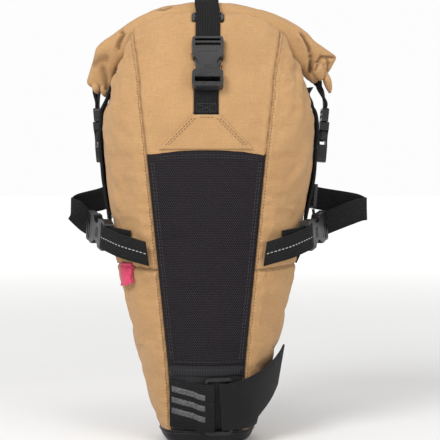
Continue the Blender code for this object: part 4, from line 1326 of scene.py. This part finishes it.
def build_saddle_face():
    """The long black panel, with a bowed top edge, and its hem over the mesh patch."""
    low, high = node_edge_height("saddle_face_panel", False) - 0.0012, node_edge_height("saddle_face_panel")

    def bow(p, q):
        return (0.0040 * (1 - (2 * p - 1) ** 2) - 0.0035) * q**6

    edges = upright_panel(SEAMS.front_x, PANEL_INSET, low, high, bow)
    face = laid_panel("saddle_face", edges, "ballistic", 0.0026, 0.0002, 0.0022, 0.0026)
    sewn(face, "black_ballistic", "saddle_face_panel")
    tree = object_tree(face)
    for inset in (0.0045, 0.0070):
        sew_sides(tree, SEAMS.front_x, inset, np.linspace(low + 0.006, high - 0.010, 120))
        sew_across(tree, 0.052, lambda x: high - 0.0035 - inset + 0.004 * (1 - (x / 0.06) ** 2), 60)
    sew_across(tree, 0.036, lambda x: low + 0.0055, 40)


def build_grip_patch():
    """The mesh patch behind the seatpost strap, and the padded strip along its top."""
    low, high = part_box("seatpost_grip_patch")
    edges = upright_panel(SEAMS.front_x, PANEL_INSET, low.z, high.z + 0.0025)
    patch = laid_panel("seatpost_mesh_patch", edges, "mesh", 0.0020, 0.0002, 0.0020, 0.0025)
    sewn(patch, "grip_mesh", "seatpost_grip_patch")
    low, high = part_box("seatpost_pad")
    edges = upright_panel(SEAMS.front_x, 0.0030, low.z - 0.0015, high.z)
    strip = laid_panel("seatpost_pad_strip", edges, "mesh", 0.0038, 0.0012, 0.0018, 0.0015, rim=0.003)
    sewn(strip, "grip_mesh", "seatpost_pad")


def build_back_lower():
    """The coated panel that covers the lower back."""
    low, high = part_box("back_lower_panel")
    edges = upright_panel(SEAMS.back_x, PANEL_INSET, low.z, high.z)
    panel = laid_panel("back_lower_cover", edges, "coated", 0.0022, 0.0002, 0.0020, 0.0028, facing=1)
    sewn(panel, "coated_base", "back_lower_panel")
    tree = object_tree(panel)
    sew_sides(tree, SEAMS.back_x, 0.0045, np.linspace(low.z + 0.006, high.z - 0.008, 90), facing=1)
    sew_across(tree, float(SEAMS.back_x(high.z)) - 0.006, lambda x: high.z - 0.0045, 50, facing=1)


def build_strap_patch():
    """The trapezium above the black panel, with two rows of stitching round it."""
    low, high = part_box("strap_patch")
    base_half, top_half = high.x - 0.002, 0.0130

    def half_at(z):
        return base_half + (top_half - base_half) * (z - low.z) / (high.z - low.z)

    edges = upright_panel(half_at, 0.0, low.z, high.z)
    patch = laid_panel("strap_patch_cover", edges, "canvas", 0.0023, 0.0012, 0.0013, 0.0016, rim=0.0012)
    sewn(patch, "tan_canvas", "strap_patch")
    tree = object_tree(patch)
    for inset in (0.0026, 0.00585):
        heights = np.linspace(low.z + 0.003, high.z - 0.0015, 50)
        sew_sides(tree, half_at, inset, heights, material="thread_tan")
    sew_across(tree, 0.008, lambda x: high.z - 0.0025, 12, material="thread_tan")


def build_boot():
    """The coated cap: its corners are rounded, and its lip is stitched over the cloth."""
    tree = tree_of(["base_boot"])
    top = node_edge_height("base_boot")
    lip = shell_ring(tree, top - 0.002)
    profile = ((0.74, 0.0), (0.84, 0.0004), (0.920, 0.0020), (0.968, 0.0050), (0.995, 0.0090),
               (1.012, 0.0125), (1.022, top), (1.021, top + 0.0010), (1.008, top + 0.0012),
               (0.985, top - 0.0005))
    rings = []
    for share, height in profile:
        ring = lip * share
        ring[:, 2] = height
        rings.append(evened(ring))
    boot = new_object("base_cap", *ring_mesh(rings), "coated")
    boot.modifiers.new("refine", "SUBSURF").levels = 1
    boot.modifiers["refine"].render_levels = 1
    sewn(boot, "coated_base", "base_boot")
    outward = np.append(lip, lip[:1], axis=0) * (1.020, 1.020, 0)
    STITCHES.run(outward + (0, 0, top - 0.0022), outward, "thread_black")


build_saddle_face()
build_grip_patch()
build_back_lower()
build_strap_patch()
build_boot()


# ---------------------------------------------------------------- straps

WEBBING = 0.0016            # thickness of the 25 mm webbing


def strap(name, node, material="web", width=0.025, body=None, thickness=WEBBING, stations=None, **shape):
    """A webbing piece that stands for a CAD strap.  It rides on a body, if one is given."""
    stations = stations or strap_stations(node, width)
    made = webbing(name, stations, material, thickness, **shape)
    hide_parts(node)
    if body:
        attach(made, body)
    return made, stations


def lowest_last(stations):
    return stations if stations[0][0].z > stations[-1][0].z else stations[::-1]


def frontmost_first(stations):
    return stations if stations[0][0].y < stations[-1][0].y else stations[::-1]


def across_strap(stations, step):
    """A strap's middle line, the vectors across it, its lengths so far and its normals, of either sign."""
    centres, across, travelled = even_stations(stations, step)
    return centres, across, travelled, unit(np.cross(np.gradient(centres, axis=0), across))


def box_tack(stations, begin, end, spread=0.40):
    """A sewn box with a cross in it on a strap, between two shares of its length."""
    centres, across, travelled, normals = across_strap(stations, 0.001)
    normals *= np.sign((normals * centres * (1, 1, 0)).sum(axis=1))[:, None]
    shares = travelled / travelled[-1]

    def along(values, marks):
        return np.stack([np.interp(marks, shares, values[:, k]) for k in range(3)], axis=1)

    a, b, c, d = (begin, -spread), (end, -spread), (begin, spread), (end, spread)
    for first, last in ((a, b), (c, d), (a, c), (b, d), (a, d), (c, b)):
        marks, sides = np.linspace(first, last, 24).T
        facing = along(normals, marks)
        places = along(centres, marks) + along(across, marks) * sides[:, None] + facing * WEBBING / 2
        STITCHES.run(places, facing, "thread_black", pitch=0.0024, length=0.0018)


def build_centre_strap():
    """The strap over the roll, blended between the bag and its plug, and the short one at its socket."""
    upper, stations = strap("centre_strap", "centre_strap_upper")
    stations = frontmost_first(stations)
    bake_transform(upper, BAG, "centre_plug", start=stations[3][0], end=stations[0][0])
    _, short = strap("centre_strap_short", "centre_strap_lower", body=BAG)
    box_tack(lowest_last(short), 0.68, 0.94)
    box_tack(stations, 0.915, 0.985)


def runner_stations(side, count=12):
    """A strap sewn down the body's side, a little in front of the closure buckle."""
    stations = []
    for height in np.linspace(0.374, 0.226, count):
        start = Vector((side * 0.3, 0.0015, height))
        hit, normal, _, _ = BODY_TREE.ray_cast(start, Vector((-side, 0, 0)))
        across = Vector((0, 0, 1)).cross(normal).normalized() * 0.025
        stations.append((hit + normal * 0.0026, across))
    return stations


def build_side_straps(word, side):
    """One side's anchors, closure tab, side strap, rail loop, rail tail and runner."""
    _, stations = strap(f"{word}_lock_anchor_web", f"{word}_lock_anchor", body=BAG)
    box_tack(lowest_last(stations), 0.55, 0.95)
    strap(f"{word}_rail_anchor_web", f"{word}_rail_anchor", body=BAG)
    # The tab is gathered in the ear, so its upper end is turned towards the front.
    foot, broad = lowest_last(strap_stations(f"{word}_closure_tab", 0.025))[-1]
    top = Vector((side * 0.1165, 0.0135, 0.3850))
    gathered = Vector((side * -0.0105, 0.0130, 0.0))
    middle = top.lerp(foot, 0.45) + Vector((side * 0.0015, -0.002, 0))
    stations = [(top, gathered), (middle, broad.lerp(gathered, 0.45)), (foot + Vector((0, 0, 0.0060)), broad),
                (foot, broad)]
    strap(f"{word}_closure_tab_web", f"{word}_closure_tab", body=BAG, stations=stations, thickness=0.0034)
    stations = lowest_last(strap_stations(f"{word}_side_strap", 0.025))
    strap(f"{word}_side_web", f"{word}_side_strap", body=f"{word}_closure_socket", stations=stations,
          thickness=0.0014, ripple=0.0)
    loop, stations = strap(f"{word}_rail_loop_web", f"{word}_rail_loop")
    stations = frontmost_first(stations)
    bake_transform(loop, BAG, f"{word}_rail_plug", start=stations[-1][0], end=stations[0][0])
    stations = strap_stations(f"{word}_rail_tail", 0.025)
    stations = stations if abs(stations[0][0].x) > abs(stations[-1][0].x) else stations[::-1]
    strap(f"{word}_rail_tail_web", f"{word}_rail_tail", "traced", body=f"{word}_rail_tail", stations=stations,
          sag=lambda t: 0.0065 * t**1.6)
    runner = webbing(f"{word}_side_runner", runner_stations(side), "web", 0.0032)
    sewn(runner, "webbing")


build_centre_strap()
build_side_straps("left", -1)
build_side_straps("right", 1)


def grip_bars(stations, thickness):
    """Three raised bars of knurled silicone that run along the grippy half of the seatpost strap."""
    centres, across, travelled, normals = across_strap(stations, 0.0011)
    normals *= -np.sign(normals[:, 1:2])
    up = unit(across)
    up *= np.sign(up[:, 2:3])
    shares = travelled / travelled[-1]
    bars = []
    for level in (0.0135, 0.0020, -0.0095):
        rings = []
        for i in np.nonzero((shares > 0.03) & (shares < 0.80))[0]:
            base = centres[i] + up[i] * (level - 0.0060 * (shares[i] - 0.4)) + normals[i] * thickness / 2
            knurl = 0.00035 * math.sin(travelled[i] * 2 * math.pi / 0.0044)
            ring = []
            for k in range(9):
                place = k / 4 - 1
                wave = knurl * (1 if k % 4 < 2 else -1) * (0 < k < 8)
                height = 0.0009 * (1 - place**6) + wave - 0.0002
                ring.append(base + up[i] * place * 0.0034 + normals[i] * height)
            rings.append(ring)
        bars.append(rings)
    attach(loft_object("seatpost_grip_bars", bars, "bars"), BAG)


def build_seatpost_strap():
    """The grippy half with its bars, the loop half, and the tab that peels off it."""
    thick = 0.0022
    _, stations = strap("seatpost_grip_web", "seatpost_grip_strap", width=0.0505, body=BAG, thickness=thick)
    grip_bars(stations if stations[0][0].x < stations[-1][0].x else stations[::-1], thick)
    strap("seatpost_loop_web", "seatpost_loop_strap", "hook", 0.0467, BAG)
    strap("seatpost_tab_web", "seatpost_hook_tab", "hook", 0.050, "seatpost_hook_tab", thick)


build_seatpost_strap()


def build_tag():
    """The folded tag on the left seam: two leaves of tape whose lower edge is cut on a slant."""
    low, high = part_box("side_tag")
    columns, rows, reach = 12, 30, 0.0100
    points, uvs = [], []
    for away in (0.0030, 0.0021, 0.0017, 0.0008):
        for q in np.linspace(0, 1, rows):
            for p in np.linspace(0, 1, columns):
                y = low.y - reach + (high.y - low.y) * (0.78 * p + 0.10 * (1 - q))
                foot = low.z + 0.0055 * (1 - p)
                z = foot + (high.z - 0.0006 - foot) * q
                hit, normal, _, _ = BODY_TREE.ray_cast(Vector((-0.3, y, z)), Vector((1, 0, 0)))
                flare = 0.0022 * (1 - q) ** 2 * (away - 0.0005) / 0.0025
                points.append(hit + normal * (away + flare + 0.0004 * math.sin(q * 5 + 2 * p)))
                uvs.append((z, y))
    faces = leaf_faces(rows, columns) + leaf_faces(rows, columns, 2 * rows * columns)
    tag = new_object("pink_tag", points, flipped(faces), "pink", uvs=uvs)
    sewn(tag, "pink_tape", "side_tag", body="side_tag")


build_tag()


# ---------------------------------------------------------------- mouldings

def paint(node, material):
    node.data.materials.clear()
    node.data.materials.append(MATERIALS[material])


def finish_mouldings():
    """Softens and paints the CAD nodes that stay in view."""
    for name, node in NODES.items():
        if node.hide_render:
            continue
        node.data.polygons.foreach_set("use_smooth", [False] * len(node.data.polygons))
        if any(word in name for word in ("buckle", "lock", "ring", "triglide")):
            weld = node.modifiers.new("weld", "WELD")
            weld.merge_threshold = 0.00001
            soft = node.modifiers.new("soft", "BEVEL")
            soft.width, soft.segments = 0.00055, 3
            soft.limit_method, soft.angle_limit = "ANGLE", math.radians(28)
            soft.harden_normals = False
            paint(node, "plastic_grey" if "lock" in name else "plastic")
        elif name in ("frame_sheet", "base_stiffener"):
            paint(node, "sheet")


def face_frame(name):
    """A moulding's middle, its axes (along, across, thin) and its spans.  along points to its broad end.
    The axes are those of the smallest box round it that lies on its largest face."""
    points = points_of(NODES[name])
    thin = np.array(max(NODES[name].data.polygons, key=lambda face: face.area).normal)
    first = np.cross(thin, (0.3, 0.5, 0.8))
    first /= np.linalg.norm(first)
    best = None
    for degrees in np.arange(0, 90, 0.5):
        a = turned(first, thin, math.radians(degrees))
        axes = [a, np.cross(thin, a), thin]
        ranges = [((points @ axis).min(), (points @ axis).max()) for axis in axes]
        spans = [high - low for low, high in ranges]
        if best is None or spans[0] * spans[1] < best[0]:
            middle = sum(axis * (low + high) / 2 for axis, (low, high) in zip(axes, ranges))
            best = spans[0] * spans[1], middle, axes, spans
    _, middle, axes, spans = best
    if spans[1] > spans[0]:
        axes[0], axes[1], spans[0], spans[1] = axes[1], axes[0], spans[1], spans[0]
    off = points - middle
    ahead = off @ axes[0] > 0.25 * spans[0]
    behind = off @ axes[0] < -0.25 * spans[0]
    if np.abs(off[ahead] @ axes[1]).mean() < np.abs(off[behind] @ axes[1]).mean():
        axes[0] = -axes[0]
    return middle, axes, spans


def rounded_bar(start, end, normal, radius, flat=0.55):
    """The rings of a raised bar with rounded ends, standing on a face."""
    start, end, normal = [np.array(v, float) for v in (start, end, normal)]
    way = (end - start) / np.linalg.norm(end - start)
    side = np.cross(way, normal)
    a = np.linspace(0, 2 * math.pi, 13)[:-1]
    ring = (np.outer(np.cos(a), side) + np.outer(np.sin(a), normal) * flat) * radius
    ends = ((0, 0.35), (0.02, 0.75), (0.06, 1.0), (0.94, 1.0), (0.98, 0.75), (1, 0.35))
    return [start + (end - start) * share + ring * fat for share, fat in ends]


# Where each moulding's ribs are along it, and how far they reach to each side, as shares of its size.
RIBS = {
    "buckle_socket": ((-0.43, 0.32), (-0.05, 0.17), (0.01, 0.19), (0.07, 0.17), (0.42, 0.32)),
    "buckle_plug": ((0.44, 0.34), (0.10, 0.40)),
    "ladder_lock": ((0.42, 0.34), (-0.42, 0.34)),
}
RIB_RADIUS = 0.00062


def buckle_trim():
    """Raised grip ribs and rims on both faces of the buckles and on the ladder locks."""
    for name in sorted(NODES):
        kind = next((k for k in RIBS if name.endswith(k)), None)
        if kind is None:
            continue
        middle, (along, across, thin), spans = face_frame(name)
        near_body = "closure" in name or "lock" in name
        marks = RIBS[kind][1:4] if near_body and kind == "buckle_socket" else RIBS[kind]
        rings = []
        for normal in (-thin, thin):
            if near_body and normal[0] * middle[0] < 0:
                continue
            for place, half in marks:
                spot = middle + normal * spans[2] / 2 + along * spans[0] * place
                reach = across * spans[1] * half
                rings.append(rounded_bar(spot - reach, spot + reach, normal, RIB_RADIUS))
        trim = loft_object(f"{name}_ribs", rings, "plastic")
        sewn(trim, "buckle_plastic", body=body_of(NODES[name])[0])


finish_mouldings()
buckle_trim()
STITCHES.build()


# ---------------------------------------------------------------- stage

def area_light(name, place, target, size, power):
    data = bpy.data.lights.new(name, "AREA")
    data.shape, data.size, data.energy = "DISK", size, power
    lamp = bpy.data.objects.new(name, data)
    bpy.context.scene.collection.objects.link(lamp)
    lamp.location = place
    lamp.rotation_euler = (Vector(target) - Vector(place)).to_track_quat("-Z", "Y").to_euler()


LENS, SENSOR = 110, 36      # of the camera, in millimetres
VIEW_WIDTH = 0.471          # how much the camera sees across, at the bag


def build_stage():
    """The pale floor and surroundings, three soft lights and the camera in front."""
    scene = bpy.context.scene
    scene.view_settings.view_transform = "Standard"
    world = bpy.data.worlds.new("studio")
    world.use_nodes = True
    world.node_tree.nodes["Background"].inputs[0].default_value = (1.0, 0.995, 0.985, 1)
    world.node_tree.nodes["Background"].inputs[1].default_value = 0.64
    # The camera sees a paler world than the one that lights the bag, so the backdrop has no horizon.
    nodes, links = world.node_tree.nodes, world.node_tree.links
    paper = nodes.new("ShaderNodeBackground")
    paper.inputs[0].default_value = (1.0, 1.0, 1.0, 1)
    paper.inputs[1].default_value = 0.98
    choice, path = nodes.new("ShaderNodeMixShader"), nodes.new("ShaderNodeLightPath")
    links.new(path.outputs["Is Camera Ray"], choice.inputs[0])
    links.new(nodes["Background"].outputs[0], choice.inputs[1])
    links.new(paper.outputs[0], choice.inputs[2])
    links.new(choice.outputs[0], nodes["World Output"].inputs[0])
    scene.world = world
    s = Shader("pale_floor", (0.88, 0.88, 0.88), 0.7)
    s.colour(s.mix(s.noise(s.place(), 3.0), (0.87, 0.87, 0.87), (0.90, 0.90, 0.90)))
    # Far from the bag the floor glows, so that it meets the paper-white surroundings without a line.
    distance = s.node("ShaderNodeVectorMath", operation="LENGTH")
    s.feed(distance.inputs[0], s.place())
    glow = s.spread(distance.outputs["Value"], 0.5, 3.2, 0.0, 0.47)
    s.surface.inputs["Emission Color"].default_value = (1, 1, 1, 1)
    s.feed(s.surface.inputs["Emission Strength"], glow)
    MATERIALS["floor"] = s.material
    reach = 30.0
    points = [(x, y, -0.0006) for y in (-reach, reach) for x in (-reach, reach)]
    new_object("floor", points, [(0, 1, 3, 2)], "floor")
    middle = (0, 0, 0.24)
    area_light("key", (-0.9, -1.5, 1.5), middle, 0.9, 28)
    area_light("fill", (1.4, -1.3, 0.7), middle, 1.4, 9)
    area_light("top", (0.10, -0.75, 1.90), middle, 0.60, 4.5)
    camera = bpy.data.cameras.new("camera")
    camera.lens, camera.sensor_width = LENS, SENSOR
    eye = bpy.data.objects.new("camera", camera)
    scene.collection.objects.link(eye)
    distance = VIEW_WIDTH / SENSOR * LENS
    aim = Vector((0.0140, 0.0, 0.2325))
    lift = math.radians(1.5)
    eye.location = aim + Vector((0, -math.cos(lift), math.sin(lift))) * distance
    eye.rotation_euler = (aim - eye.location).to_track_quat("-Z", "Y").to_euler()
    scene.camera = eye


build_stage()
